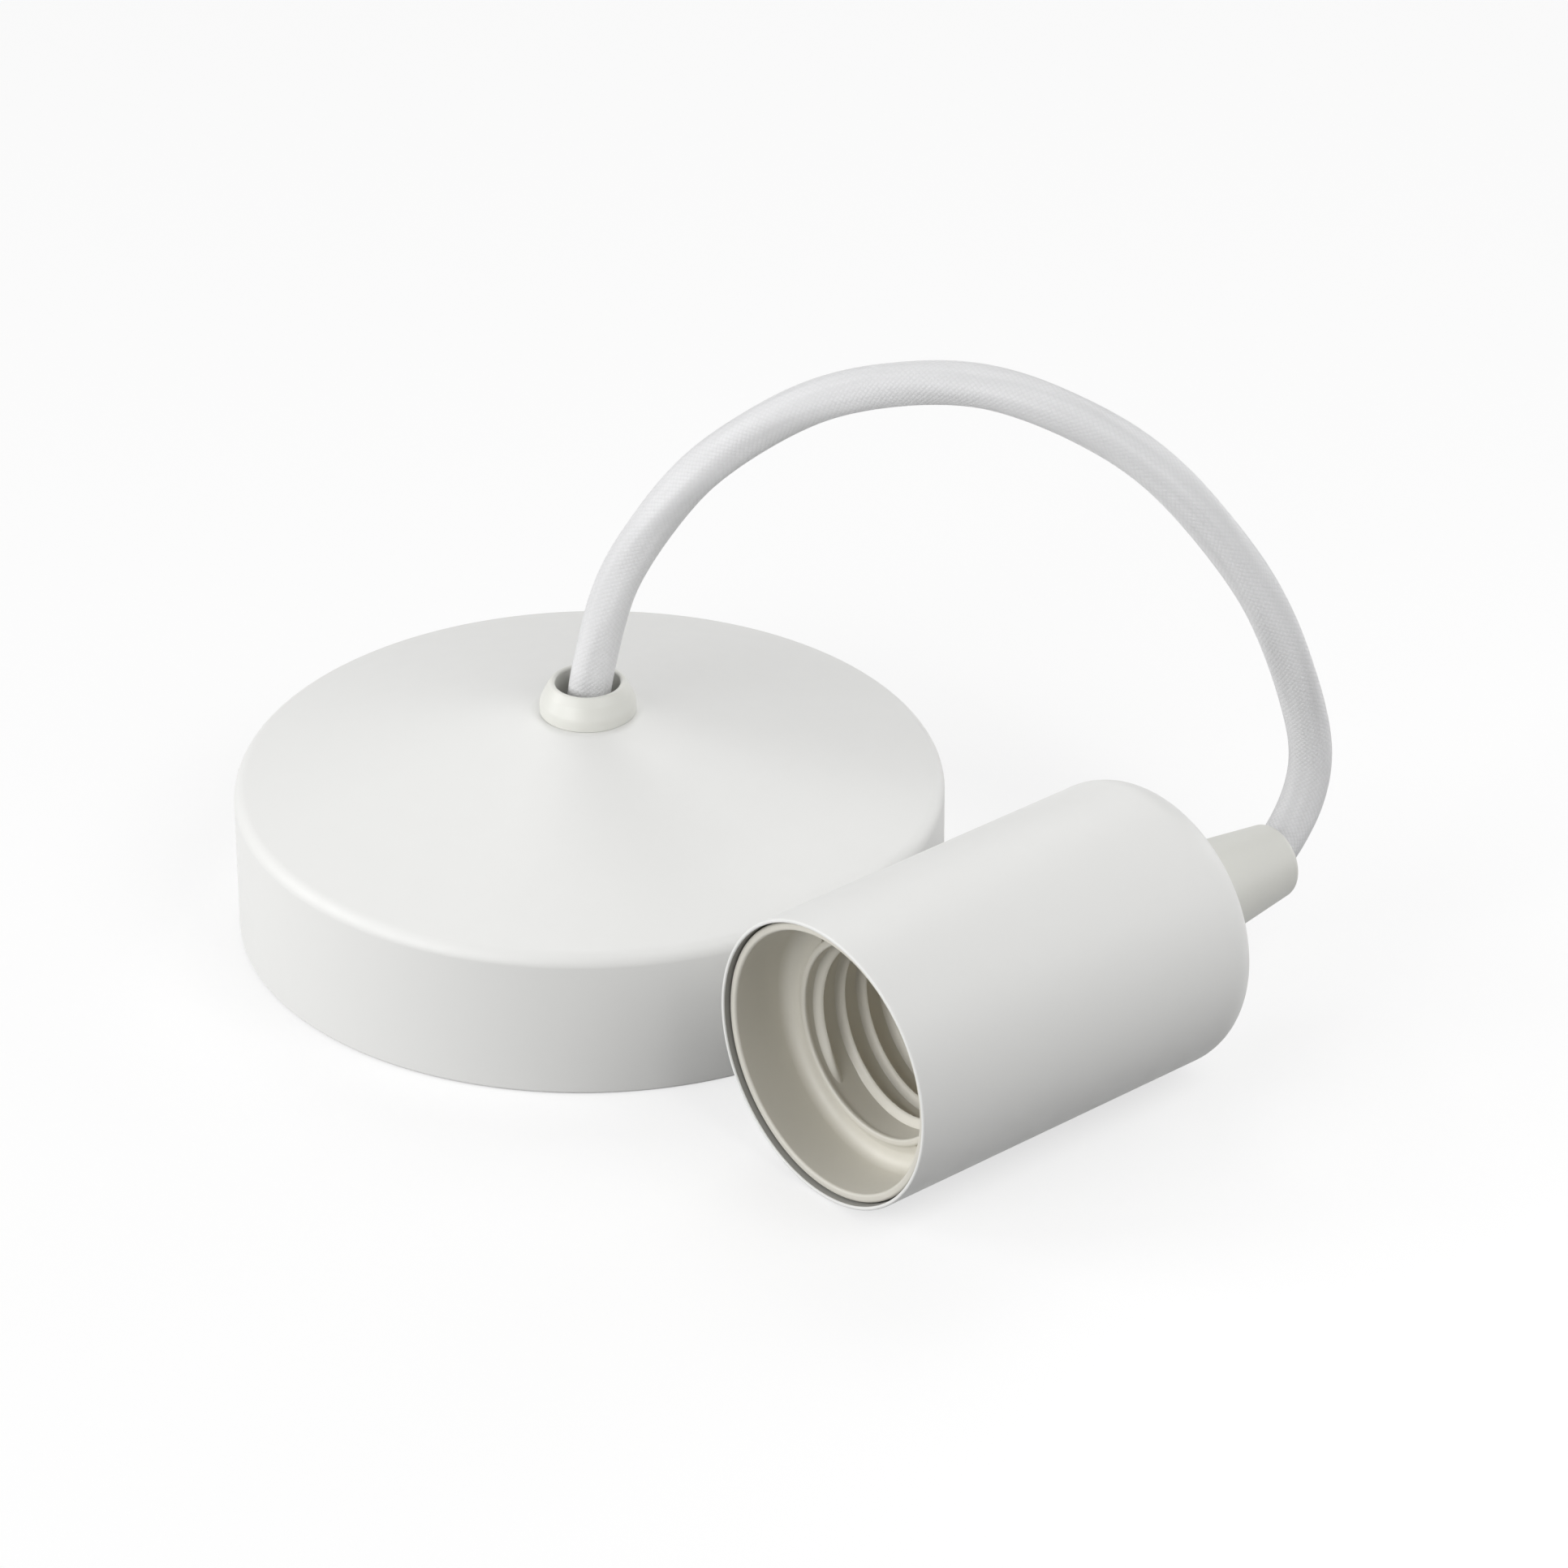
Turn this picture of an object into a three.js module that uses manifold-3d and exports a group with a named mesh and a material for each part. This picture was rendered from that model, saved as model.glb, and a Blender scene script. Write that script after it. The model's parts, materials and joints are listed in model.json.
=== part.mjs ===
// A pendant cord set: a round ceiling rose with a shallow conical top, a short textile cord that
// arches out of the collar at its centre, and a smooth cylindrical E27 lamp holder lying on its side.
// Millimetres, +Z up. The rose stands on its rim with its open side down, and the holder lies along Y
// with its mouth towards -Y. Both touch the plane z = 0.
import * as THREE from 'three';
import { mergeVertices } from 'three/addons/utils/BufferGeometryUtils.js';
import { NURBSCurve } from 'three/addons/curves/NURBSCurve.js';
import Module from 'manifold-3d';

// Clearances
const FIT = 0.3; // between a round piece and the hole that holds it
const SEAT = 0.1; // between two flat faces that bear on each other

// Cord: a round three-core flex in a textile braid
const CORD_RADIUS = 2.95;
const CORD_SIDES = 10;
const CORD_STEPS = 56;
const CORE_RADIUS = 0.9; // one insulated conductor
const CORE_ORBIT = 1.35; // how far a conductor lies from the cord's middle
const CORE_SIDES = 8;

// Ceiling rose cover, measured from its own axis
const ROSE_RADIUS = 47.5;
const ROSE_WALL = 1.2;
const ROSE_SIDE_HEIGHT = 20.4;
const ROSE_TOP_HEIGHT = 30.6; // the flat land that the collar sits on
const ROSE_EDGE_ROUND = 2.0;
const ROSE_LAND_RADIUS = 7.4;

// Collar at the middle of the rose, screwed on the threaded tube
const COLLAR_RADIUS = 6.45;
const COLLAR_HEIGHT = 4.4;
const COLLAR_LIP_RADIUS = 4.9;
const COLLAR_BORE = 4.35;
const COLLAR_SHANK_RADIUS = 5.75;
const COLLAR_SHANK_DEPTH = 5.6;
const COLLAR_THREAD_DEPTH = 4.4; // how far up its shank the tube's hole reaches

// Threaded tube that carries the cover, and the nuts that clamp it in the bracket
const TUBE_RADIUS = 4.85;
const TUBE_BORE = 3.55;
const TUBE_BELOW_BRACKET = 3.2;
const NUT_FLATS = 14; // across the flats of every nut
const NUT_THICKNESS = 2.6;

// Hat-shaped steel bracket across the inside of the rose
const BRACKET_THICKNESS = 1.5;
const BRACKET_WIDTH = 20;
const BRACKET_RAISE = 16.5; // top of the raised middle
const BRACKET_MIDDLE = 52; // length of the raised middle
const BRACKET_LEG_SPREAD = 3; // how far each leg leans out
const BRACKET_FOOT = 14.5;
const BRACKET_SLOT_WIDTH = 4.5;
const BRACKET_SLOT_LENGTH = 8;

// Cord clamp, one in the rose and one in the holder: two bars drawn together by two screws
const CLAMP_LENGTH = 20;
const CLAMP_WIDTH = 10;
const CLAMP_HEIGHT = 3.8;
const CLAMP_SPLIT = 1.2; // gap between the two bars
const CLAMP_SCREW_OFFSET = 6.6;
const SCREW_RADIUS = 1.25;
const SCREW_HEAD_RADIUS = 2.2;
const SCREW_HEAD_HEIGHT = 1.5;
const SCREW_SLOT_WIDTH = 0.6;
const SCREW_SLOT_DEPTH = 0.6;

// Terminal block in the rose, three poles side by side along Y
const BLOCK_START = 8.6; // its face towards the cord
const BLOCK_LENGTH = 15.5;
const BLOCK_HEIGHT = 12.4;
const BLOCK_POLE_PITCH = 7;
const BLOCK_POLE_WIDTH = 6.4;
const BLOCK_WEB_THICKNESS = 5;
const BLOCK_SLEEVE_RADIUS = 2.3; // brass sleeve of one pole
const BLOCK_SLEEVE_BORE = 1.4;
const BLOCK_SLEEVE_HEIGHT = 3.2; // its axis above the block's underside
const BLOCK_SLEEVE_INSET = 1.0;
const BLOCK_SCREW_INSET = 3.9;

// Lamp holder cover, measured from the middle of its mouth, depth running towards the neck
const HOLDER_X = 74.5; // from the rose's axis
const HOLDER_MOUTH_Y = -23.3;
const HOLDER_RADIUS = 19.4;
const HOLDER_LENGTH = 58.7;
const HOLDER_WALL = 0.5;
const HOLDER_SHOULDER_ROUND = 5.8;
const HOLDER_LIP_ROUND = 0.2;

// Neck: tapered cord outlet with a threaded shank through the cover's rear wall
const NECK_LENGTH = 19.8;
const NECK_BASE_RADIUS = 7.4;
const NECK_END_RADIUS = 4.95;
const NECK_END_ROUND = 1.6;
const NECK_END_TURN = 50; // degrees that the rounding turns before it meets the bore
const NECK_FLARE_RADIUS = 4.3;
const NECK_FLARE_LENGTH = 10;
const NECK_SHANK_LENGTH = 8.7; // inside the cover

// Lamp socket: sleeve, shoulder and E27 thread moulded as one
const SOCKET_GAP = 0.6; // dark line between the cover's lip and the sleeve
const SOCKET_WALL = 1.1;
const SOCKET_RECESS = 0.8; // the sleeve's rim stands this far behind the cover's lip
const SOCKET_SHOULDER_DEPTH = 8.5; // to the raised lip round the thread
const SOCKET_GROOVE_DEPTH = 1.0; // from that lip to the foot of the sleeve
const SOCKET_FLOOR = 2.0; // thickness of the shoulder
const SOCKET_SHOULDER_LIP = 13.1;
const THREAD_PITCH = 3.629;
const THREAD_CREST_RADIUS = 12.2;
const THREAD_ROOT_RADIUS = 13.3;
const THREAD_FIRST_CREST = 10.5;
const THREAD_CRESTS = 6;
const THREAD_CREST_FLAT = 1.0;
const THREAD_FLANK = 0.8;
const THREAD_TUBE_WALL = 1.8;
const THREAD_RUN_OUT = 1.9; // from the last crest to the tube's rear end
const NOTCH_ANGLE = 50; // degrees above the horizontal, on the side towards the rose
const NOTCH_WIDTH = 2.5;
const NOTCH_INNER_RADIUS = 13.9;
const NOTCH_OUTER_RADIUS = 15.5;
const NOTCH_DEPTH = 2.2;

// Contact carrier behind the socket, and the cap that closes its wiring space
const CARRIER_THICKNESS = 8;
const CARRIER_RIM_WALL = 1.6;
const CARRIER_RIM_REACH = 4; // how far its rim runs forward round the thread tube
const CAP_NUT_GAP = 0.455; // the cap reaches from the carrier to the neck's nut, less this gap
const CAP_DISC = 2;
const CAP_WALL = 1.3;

// Contacts, their terminals in the carrier, and the earth tag on the neck's shank
const CONTACT_SHEET = 0.5;
const CONTACT_WIDTH = 5;
const TERMINAL_OFFSET = 8.3;
const TERMINAL_SIZE = 5.4;
const TERMINAL_DEPTH = 4.6; // along the holder's axis
const WIRE_HOLE_RADIUS = 1.3;
const RIVET_RADIUS = 1.1;
const RIVET_HEAD_RADIUS = 1.9;
const RIVET_HEAD_HEIGHT = 0.7;
const TAG_RADIUS = 7.0;
const TAG_THICKNESS = 0.5;
const TAG_TONGUE_WIDTH = 4;
const TAG_TONGUE_REACH = 11.5;

// Curve divisions
const COVER_SEGMENTS = 64;
const SOCKET_SEGMENTS = 48;
const SMALL_SEGMENTS = 24;
const SCREW_SEGMENTS = 12;

// Sizes that follow from the ones above
const slotCut = 2; // how far a cutting shape runs past the face it cuts
const socketRadius = HOLDER_RADIUS - HOLDER_WALL - SOCKET_GAP;
const socketBore = socketRadius - SOCKET_WALL;
const threadEnd = THREAD_FIRST_CREST + (THREAD_CRESTS - 1) * THREAD_PITCH + THREAD_RUN_OUT;
const threadTubeRadius = THREAD_ROOT_RADIUS + THREAD_TUBE_WALL;
const carrierFront = threadEnd + FIT;
const carrierRear = carrierFront + CARRIER_THICKNESS;
const carrierRadius = threadTubeRadius + FIT + CARRIER_RIM_WALL;
const capFront = carrierRear + FIT;
const coverRearInside = HOLDER_LENGTH - HOLDER_WALL;
const shankEnd = HOLDER_LENGTH - NECK_SHANK_LENGTH;
const neckNutFront = coverRearInside - SEAT - NUT_THICKNESS;
const capRear = neckNutFront - CAP_NUT_GAP;
const capDiscFront = capRear - CAP_DISC;
const tagFront = capDiscFront - SEAT - TAG_THICKNESS;
const lockNutFront = tagFront - SEAT - NUT_THICKNESS;
const holderClampFront = shankEnd - FIT - CLAMP_HEIGHT;
const holderSheathEnd = holderClampFront - 0.6;
const bracketUnderside = BRACKET_RAISE - BRACKET_THICKNESS;
const tubeBottom = bracketUnderside - TUBE_BELOW_BRACKET;
const tubeTop = ROSE_TOP_HEIGHT - COLLAR_SHANK_DEPTH + COLLAR_THREAD_DEPTH - FIT;
const roseClampBottom = tubeBottom - FIT - CLAMP_HEIGHT;
const roseSheathEnd = roseClampBottom - 0.4;
const blockBottom = bracketUnderside - FIT - BLOCK_HEIGHT;
const blockSleeveZ = blockBottom + BLOCK_SLEEVE_HEIGHT;
const blockPoles = [-BLOCK_POLE_PITCH, 0, BLOCK_POLE_PITCH];
const neckEndY = HOLDER_MOUTH_Y + HOLDER_LENGTH + NECK_LENGTH;

// The cord's route from inside the rose to inside the holder, measured from the rose's axis
const CORD_ROUTE = [
  [0, 0, roseSheathEnd], [0, 0, 13], [0, 0, 20], [0, 0, 27], [0, 0, 33], [1.1, 0.9, 41.1],
  [4.1, 3.0, 53.4], [10.5, 7.9, 65.8], [19.6, 14.4, 76.6], [31.5, 23.6, 83.7], [43.9, 32.5, 84.9],
  [54.9, 40.9, 80.2], [63.2, 47.6, 72.1], [68.2, 53.1, 62.2], [70.4, 57.6, 52.6], [70.9, 61.3, 43.9],
  [70.3, 64.1, 36.4], [71.2, 64.8, 30.2], [72.1, 62.7, 24.6], [73.0, 58.5, 20.5], [74.4, 52.9, 18.7],
  [74.6, 46.4, 19.3], [74.5, 40, 19.4], [74.5, 34, 19.4], [74.5, 28, 19.4],
  [74.5, HOLDER_MOUTH_Y + holderSheathEnd, 19.4],
];

const wasm = await Module();
wasm.setup();

function finish(color, roughness, metalness) {
  return new THREE.MeshStandardMaterial({ color, roughness, metalness });
}

const whitePaint = finish(0xe9e9e6, 0.55, 0.0);
const whitePlastic = finish(0xeceae4, 0.4, 0.0);
const socketPlastic = finish(0xd6d4cb, 0.5, 0.0);
const carrierPlastic = finish(0xe0ddd2, 0.6, 0.0);
const textile = finish(0xe2e2e4, 0.9, 0.0);
const zincSteel = finish(0xb9bcc0, 0.4, 1.0);
const brass = finish(0xc7a45a, 0.35, 1.0);
const clearNylon = finish(0xdedcd2, 0.5, 0.0);
const liveInsulation = finish(0x6b4226, 0.5, 0.0);
const neutralInsulation = finish(0x2f5f9e, 0.5, 0.0);
const earthInsulation = finish(0x8fae3a, 0.5, 0.0);

function piece(name, geometry, material, position = [0, 0, 0]) {
  const mesh = new THREE.Mesh(geometry, material);
  mesh.name = name;
  mesh.position.set(...position);
  return mesh;
}

// Shapes turned on an axis, given as [radius, height] pairs round their section

function sectionArea(profile) {
  let area = 0;
  for (let i = 0; i < profile.length; i++) {
    const [r0, h0] = profile[i];
    const [r1, h1] = profile[(i + 1) % profile.length];
    area += r0 * h1 - r1 * h0;
  }
  return area / 2;
}

function turnedAboutY(profile, segments) {
  const ordered = sectionArea(profile) > 0 ? profile : [...profile].reverse();
  const points = ordered.map(([r, h]) => new THREE.Vector2(r, h));
  points.push(points[0].clone());
  return new THREE.LatheGeometry(points, segments);
}

function standUp(geometry) {
  const basis = new THREE.Matrix4().makeBasis(
    new THREE.Vector3(1, 0, 0), new THREE.Vector3(0, 0, 1), new THREE.Vector3(0, -1, 0));
  return geometry.applyMatrix4(basis);
}

function turnedAboutZ(profile, segments) {
  return standUp(turnedAboutY(profile, segments));
}

// Points of a rounded corner about (r, h), from one angle to another in degrees
function cornerArc(r, h, radius, from, to, steps) {
  const points = [];
  for (let i = 0; i <= steps; i++) {
    const angle = THREE.MathUtils.degToRad(from + ((to - from) * i) / steps);
    points.push([r + radius * Math.cos(angle), h + radius * Math.sin(angle)]);
  }
  return points;
}

function ringSection(inner, outer, low, high) {
  return [[inner, low], [outer, low], [outer, high], [inner, high]];
}

// Joins and cuts

function toSolid(geometry) {
  const bare = geometry.clone();
  bare.deleteAttribute('normal');
  bare.deleteAttribute('uv');
  const merged = mergeVertices(bare, 1e-5);
  return new wasm.Manifold(new wasm.Mesh({
    numProp: 3,
    vertProperties: new Float32Array(merged.attributes.position.array),
    triVerts: new Uint32Array(merged.index.array),
  }));
}

function toGeometry(solid) {
  const mesh = solid.getMesh();
  const geometry = new THREE.BufferGeometry();
  const corners = new Float32Array(mesh.vertProperties);
  geometry.setAttribute('position', new THREE.BufferAttribute(corners, 3));
  geometry.setIndex(new THREE.BufferAttribute(new Uint32Array(mesh.triVerts), 1));
  geometry.computeVertexNormals();
  return geometry;
}

function cut(geometry, ...tools) {
  let solid = toSolid(geometry);
  for (const tool of tools) {
    solid = solid.subtract(toSolid(tool));
  }
  return toGeometry(solid);
}

function join(...geometries) {
  let solid = toSolid(geometries[0]);
  for (const geometry of geometries.slice(1)) {
    solid = solid.add(toSolid(geometry));
  }
  return toGeometry(solid);
}

// Boxes and rods given by their limits

function block(low, high) {
  const size = high.map((value, i) => value - low[i]);
  const middle = high.map((value, i) => (value + low[i]) / 2);
  return new THREE.BoxGeometry(...size).translate(...middle);
}

function rodAlongY(radius, low, high, segments = SCREW_SEGMENTS) {
  return new THREE.CylinderGeometry(radius, radius, high - low, segments).translate(0, (low + high) / 2, 0);
}

function rodAlongZ(radius, low, high, segments = SCREW_SEGMENTS) {
  return standUp(rodAlongY(radius, low, high, segments));
}

function rodAlongX(radius, low, high, segments = SCREW_SEGMENTS) {
  return rodAlongY(radius, low, high, segments).rotateZ(-Math.PI / 2);
}

// A cheese-head screw standing along +Z, its head's underside at z = 0 and its shank below
function screw(shankLength, headRadius = SCREW_HEAD_RADIUS) {
  const body = turnedAboutZ([
    [0, -shankLength], [SCREW_RADIUS, -shankLength], [SCREW_RADIUS, 0], [headRadius, 0],
    [headRadius, SCREW_HEAD_HEIGHT], [0, SCREW_HEAD_HEIGHT],
  ], SCREW_SEGMENTS);
  const half = SCREW_SLOT_WIDTH / 2;
  const reach = headRadius + slotCut;
  const slot = block(
    [-reach, -half, SCREW_HEAD_HEIGHT - SCREW_SLOT_DEPTH],
    [reach, half, SCREW_HEAD_HEIGHT + slotCut]);
  return cut(body, slot);
}

function hexNut(bore, thickness) {
  const outline = new THREE.Shape();
  const corner = NUT_FLATS / Math.sqrt(3);
  for (let i = 0; i < 6; i++) {
    const angle = (i * Math.PI) / 3;
    outline.lineTo(corner * Math.cos(angle), corner * Math.sin(angle));
  }
  outline.curves.shift();
  const hole = new THREE.Path();
  hole.absarc(0, 0, bore, 0, 2 * Math.PI, true);
  outline.holes.push(hole);
  const options = { depth: thickness, bevelEnabled: false, curveSegments: SMALL_SEGMENTS };
  return new THREE.ExtrudeGeometry(outline, options);
}

// A round tube along a smooth curve that the control points pull into shape

function smoothPath(points) {
  const degree = 3;
  const spans = points.length - degree;
  const knots = [0, 0, 0];
  for (let i = 0; i <= spans; i++) {
    knots.push(i);
  }
  knots.push(spans, spans, spans);
  return new NURBSCurve(degree, knots, points.map(([x, y, z]) => new THREE.Vector4(x, y, z, 1)));
}

function flexTube(points, radius, sides, steps) {
  const section = [];
  for (let i = 0; i < sides; i++) {
    const angle = (2 * Math.PI * i) / sides;
    section.push(new THREE.Vector2(radius * Math.cos(angle), radius * Math.sin(angle)));
  }
  return new THREE.ExtrudeGeometry(new THREE.Shape(section), { steps, extrudePath: smoothPath(points) });
}

// Ceiling rose

function roseCover() {
  const slope = Math.atan2(ROSE_TOP_HEIGHT - ROSE_SIDE_HEIGHT, ROSE_RADIUS - ROSE_LAND_RADIUS);
  const coneHeight = (radius) => ROSE_SIDE_HEIGHT + (ROSE_RADIUS - radius) * Math.tan(slope);
  const drop = ROSE_WALL / Math.cos(slope);
  const slopeDegrees = THREE.MathUtils.radToDeg(slope);
  const corner = (round, radius, lowered) => {
    const centre = radius - round;
    const height = coneHeight(centre) - lowered - round / Math.cos(slope);
    return cornerArc(centre, height, round, 0, 90 - slopeDegrees, 4);
  };
  const hole = COLLAR_SHANK_RADIUS + FIT;
  const innerRound = ROSE_EDGE_ROUND - ROSE_WALL / 2;
  return turnedAboutZ([
    [ROSE_RADIUS - ROSE_WALL, 0],
    [ROSE_RADIUS, 0],
    ...corner(ROSE_EDGE_ROUND, ROSE_RADIUS, 0),
    [ROSE_LAND_RADIUS, ROSE_TOP_HEIGHT],
    [hole, ROSE_TOP_HEIGHT],
    [hole, ROSE_TOP_HEIGHT - drop],
    [ROSE_LAND_RADIUS, ROSE_TOP_HEIGHT - drop],
    ...corner(innerRound, ROSE_RADIUS - ROSE_WALL, drop).reverse(),
  ], COVER_SEGMENTS);
}

function roseCollar() {
  const seat = ROSE_TOP_HEIGHT + SEAT;
  const top = ROSE_TOP_HEIGHT + COLLAR_HEIGHT;
  const shank = ROSE_TOP_HEIGHT - COLLAR_SHANK_DEPTH;
  const threadTop = shank + COLLAR_THREAD_DEPTH;
  const lipMiddle = (COLLAR_BORE + COLLAR_LIP_RADIUS) / 2;
  const lipRound = COLLAR_LIP_RADIUS - lipMiddle;
  return turnedAboutZ([
    [TUBE_RADIUS + FIT / 2, shank],
    [COLLAR_SHANK_RADIUS, shank],
    [COLLAR_SHANK_RADIUS, seat],
    [COLLAR_RADIUS, seat],
    [COLLAR_RADIUS, top - 3.5],
    [COLLAR_RADIUS - 0.25, top - 2.6],
    [COLLAR_RADIUS - 0.8, top - 1.3],
    ...cornerArc(lipMiddle + 0.15, top - lipRound, lipRound, 50, 180, 4),
    [COLLAR_BORE, threadTop],
    [TUBE_RADIUS + FIT / 2, threadTop],
  ], 32);
}

function threadedTube() {
  return turnedAboutZ(ringSection(TUBE_BORE, TUBE_RADIUS, tubeBottom, tubeTop), SMALL_SEGMENTS);
}

function roundedSlot(width, length, low, high) {
  const half = (length - width) / 2;
  const outline = new THREE.Shape();
  outline.absarc(half, 0, width / 2, -Math.PI / 2, Math.PI / 2, false);
  outline.absarc(-half, 0, width / 2, Math.PI / 2, 1.5 * Math.PI, false);
  const options = { depth: high - low, bevelEnabled: false, curveSegments: 6 };
  return new THREE.ExtrudeGeometry(outline, options).translate(0, 0, low);
}

function mountingBracket() {
  const middle = BRACKET_MIDDLE / 2;
  const leg = middle + BRACKET_LEG_SPREAD;
  const foot = leg + BRACKET_FOOT;
  const lean = Math.atan2(BRACKET_LEG_SPREAD, BRACKET_RAISE);
  const inset = BRACKET_THICKNESS / Math.cos(lean) - BRACKET_THICKNESS * Math.tan(lean);
  const right = [
    [middle, BRACKET_RAISE], [leg, BRACKET_THICKNESS], [foot, BRACKET_THICKNESS],
    [foot, 0], [leg - inset, 0], [middle - inset, bracketUnderside],
  ];
  const left = right.map(([x, z]) => [-x, z]).reverse();
  const outline = new THREE.Shape([...right, ...left].map(([x, z]) => new THREE.Vector2(x, z)));
  const strip = new THREE.ExtrudeGeometry(outline, { depth: BRACKET_WIDTH, bevelEnabled: false });
  strip.translate(0, 0, -BRACKET_WIDTH / 2);
  standUp(strip);
  const footMiddle = leg + BRACKET_FOOT / 2;
  const slotHigh = BRACKET_THICKNESS + slotCut;
  const slots = [-footMiddle, footMiddle].map((x) => (
    roundedSlot(BRACKET_SLOT_WIDTH, BRACKET_SLOT_LENGTH, -slotCut, slotHigh).translate(x, 0, 0)));
  const cutLow = bracketUnderside - slotCut;
  const cutHigh = BRACKET_RAISE + slotCut;
  const tubeHole = rodAlongZ(TUBE_RADIUS + FIT, cutLow, cutHigh, SMALL_SEGMENTS);
  const screwHole = rodAlongZ(SCREW_RADIUS + FIT, cutLow, cutHigh)
    .translate(BLOCK_START + BLOCK_LENGTH / 2, BLOCK_POLE_PITCH / 2, 0);
  return cut(strip, ...slots, tubeHole, screwHole);
}

// One bar of a cord clamp, its flat side towards +Y, long along X and standing from z = 0
function clampBar() {
  const half = CLAMP_LENGTH / 2;
  const body = block([-half, -CLAMP_WIDTH / 2, 0], [half, -CLAMP_SPLIT / 2, CLAMP_HEIGHT]);
  const groove = rodAlongZ(CORD_RADIUS + FIT, -slotCut, CLAMP_HEIGHT + slotCut, SMALL_SEGMENTS);
  const holes = [-CLAMP_SCREW_OFFSET, CLAMP_SCREW_OFFSET].map((x) => (
    rodAlongY(SCREW_RADIUS + FIT, -CLAMP_WIDTH, CLAMP_WIDTH).translate(x, 0, CLAMP_HEIGHT / 2)));
  return cut(body, groove, ...holes);
}

function clampScrew() {
  const headSeat = CLAMP_WIDTH / 2 + SEAT;
  return screw(CLAMP_WIDTH + SEAT, CLAMP_HEIGHT / 2 - SEAT)
    .rotateX(Math.PI / 2)
    .translate(0, -headSeat, CLAMP_HEIGHT / 2);
}

function cordClamp(prefix) {
  const group = new THREE.Group();
  const farBar = clampBar().rotateZ(Math.PI);
  group.add(piece(`${prefix}_clamp_bar_front`, clampBar(), clearNylon));
  group.add(piece(`${prefix}_clamp_bar_back`, farBar, clearNylon));
  group.add(piece(`${prefix}_clamp_screw_left`, clampScrew(), zincSteel, [-CLAMP_SCREW_OFFSET, 0, 0]));
  group.add(piece(`${prefix}_clamp_screw_right`, clampScrew(), zincSteel, [CLAMP_SCREW_OFFSET, 0, 0]));
  return group;
}

function terminalBlockBody() {
  const end = BLOCK_START + BLOCK_LENGTH;
  const half = BLOCK_POLE_WIDTH / 2;
  const top = blockBottom + BLOCK_HEIGHT;
  const poles = blockPoles.map((y) => block([BLOCK_START, y - half, blockBottom], [end, y + half, top]));
  const middle = BLOCK_START + BLOCK_LENGTH / 2;
  const web = block(
    [middle - BLOCK_WEB_THICKNESS / 2, -BLOCK_POLE_PITCH, blockBottom + 0.8],
    [middle + BLOCK_WEB_THICKNESS / 2, BLOCK_POLE_PITCH, top - 0.8]);
  const sleeveHoles = blockPoles.map((y) => (
    rodAlongX(BLOCK_SLEEVE_RADIUS + FIT, BLOCK_START - slotCut, end + slotCut, SMALL_SEGMENTS)
      .translate(0, y, blockSleeveZ)));
  const screwHoles = blockPoles.flatMap((y) => poleScrewPlaces().map((x) => (
    rodAlongZ(SCREW_HEAD_RADIUS, blockBottom - slotCut, blockSleeveZ).translate(x, y, 0))));
  const fixing = rodAlongZ(SCREW_RADIUS + FIT, blockBottom - slotCut, top + slotCut)
    .translate(middle, BLOCK_POLE_PITCH / 2, 0);
  return cut(join(...poles, web), ...sleeveHoles, ...screwHoles, fixing);
}

function poleScrewPlaces() {
  return [BLOCK_START + BLOCK_SCREW_INSET, BLOCK_START + BLOCK_LENGTH - BLOCK_SCREW_INSET];
}

function poleSleeve() {
  const low = BLOCK_START + BLOCK_SLEEVE_INSET;
  const high = BLOCK_START + BLOCK_LENGTH - BLOCK_SLEEVE_INSET;
  const sleeve = rodAlongX(BLOCK_SLEEVE_RADIUS, low, high, SMALL_SEGMENTS);
  const bore = rodAlongX(BLOCK_SLEEVE_BORE, low - slotCut, high + slotCut, SCREW_SEGMENTS);
  const threads = poleScrewPlaces().map((x) => (
    rodAlongZ(SCREW_RADIUS + FIT / 2, -BLOCK_SLEEVE_RADIUS - slotCut, 0).translate(x, 0, 0)));
  return cut(sleeve, bore, ...threads);
}

// A headless slotted screw, driven from below into a pole's sleeve
function poleScrew() {
  const low = blockBottom + 0.3;
  const high = blockSleeveZ - BLOCK_SLEEVE_BORE + 0.2;
  const half = SCREW_SLOT_WIDTH / 2;
  const reach = SCREW_RADIUS + slotCut;
  const slot = block([-reach, -half, low - slotCut], [reach, half, low + SCREW_SLOT_DEPTH]);
  return cut(rodAlongZ(SCREW_RADIUS, low, high), slot);
}

function blockFixingScrew() {
  const seat = BRACKET_RAISE + SEAT;
  return screw(BRACKET_THICKNESS + BLOCK_HEIGHT / 2).translate(0, 0, seat);
}

// A conductor from the cord's end down and across into a pole of the terminal block
function roseCore(angle, poleY) {
  const startX = CORE_ORBIT * Math.cos(angle);
  const startY = CORE_ORBIT * Math.sin(angle);
  const top = roseSheathEnd - FIT;
  const entry = BLOCK_START + BLOCK_SLEEVE_INSET + 1.5;
  return flexTube([
    [startX, startY, top], [startX, startY, top - 1.2], [startX + 0.8, startY, blockSleeveZ - 0.2],
    [startX + 2.6, startY + (poleY - startY) * 0.3, blockSleeveZ - 0.5],
    [BLOCK_START - 2.4, startY + (poleY - startY) * 0.85, blockSleeveZ],
    [BLOCK_START, poleY, blockSleeveZ], [entry, poleY, blockSleeveZ],
  ], CORE_RADIUS, CORE_SIDES, 14);
}

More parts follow.
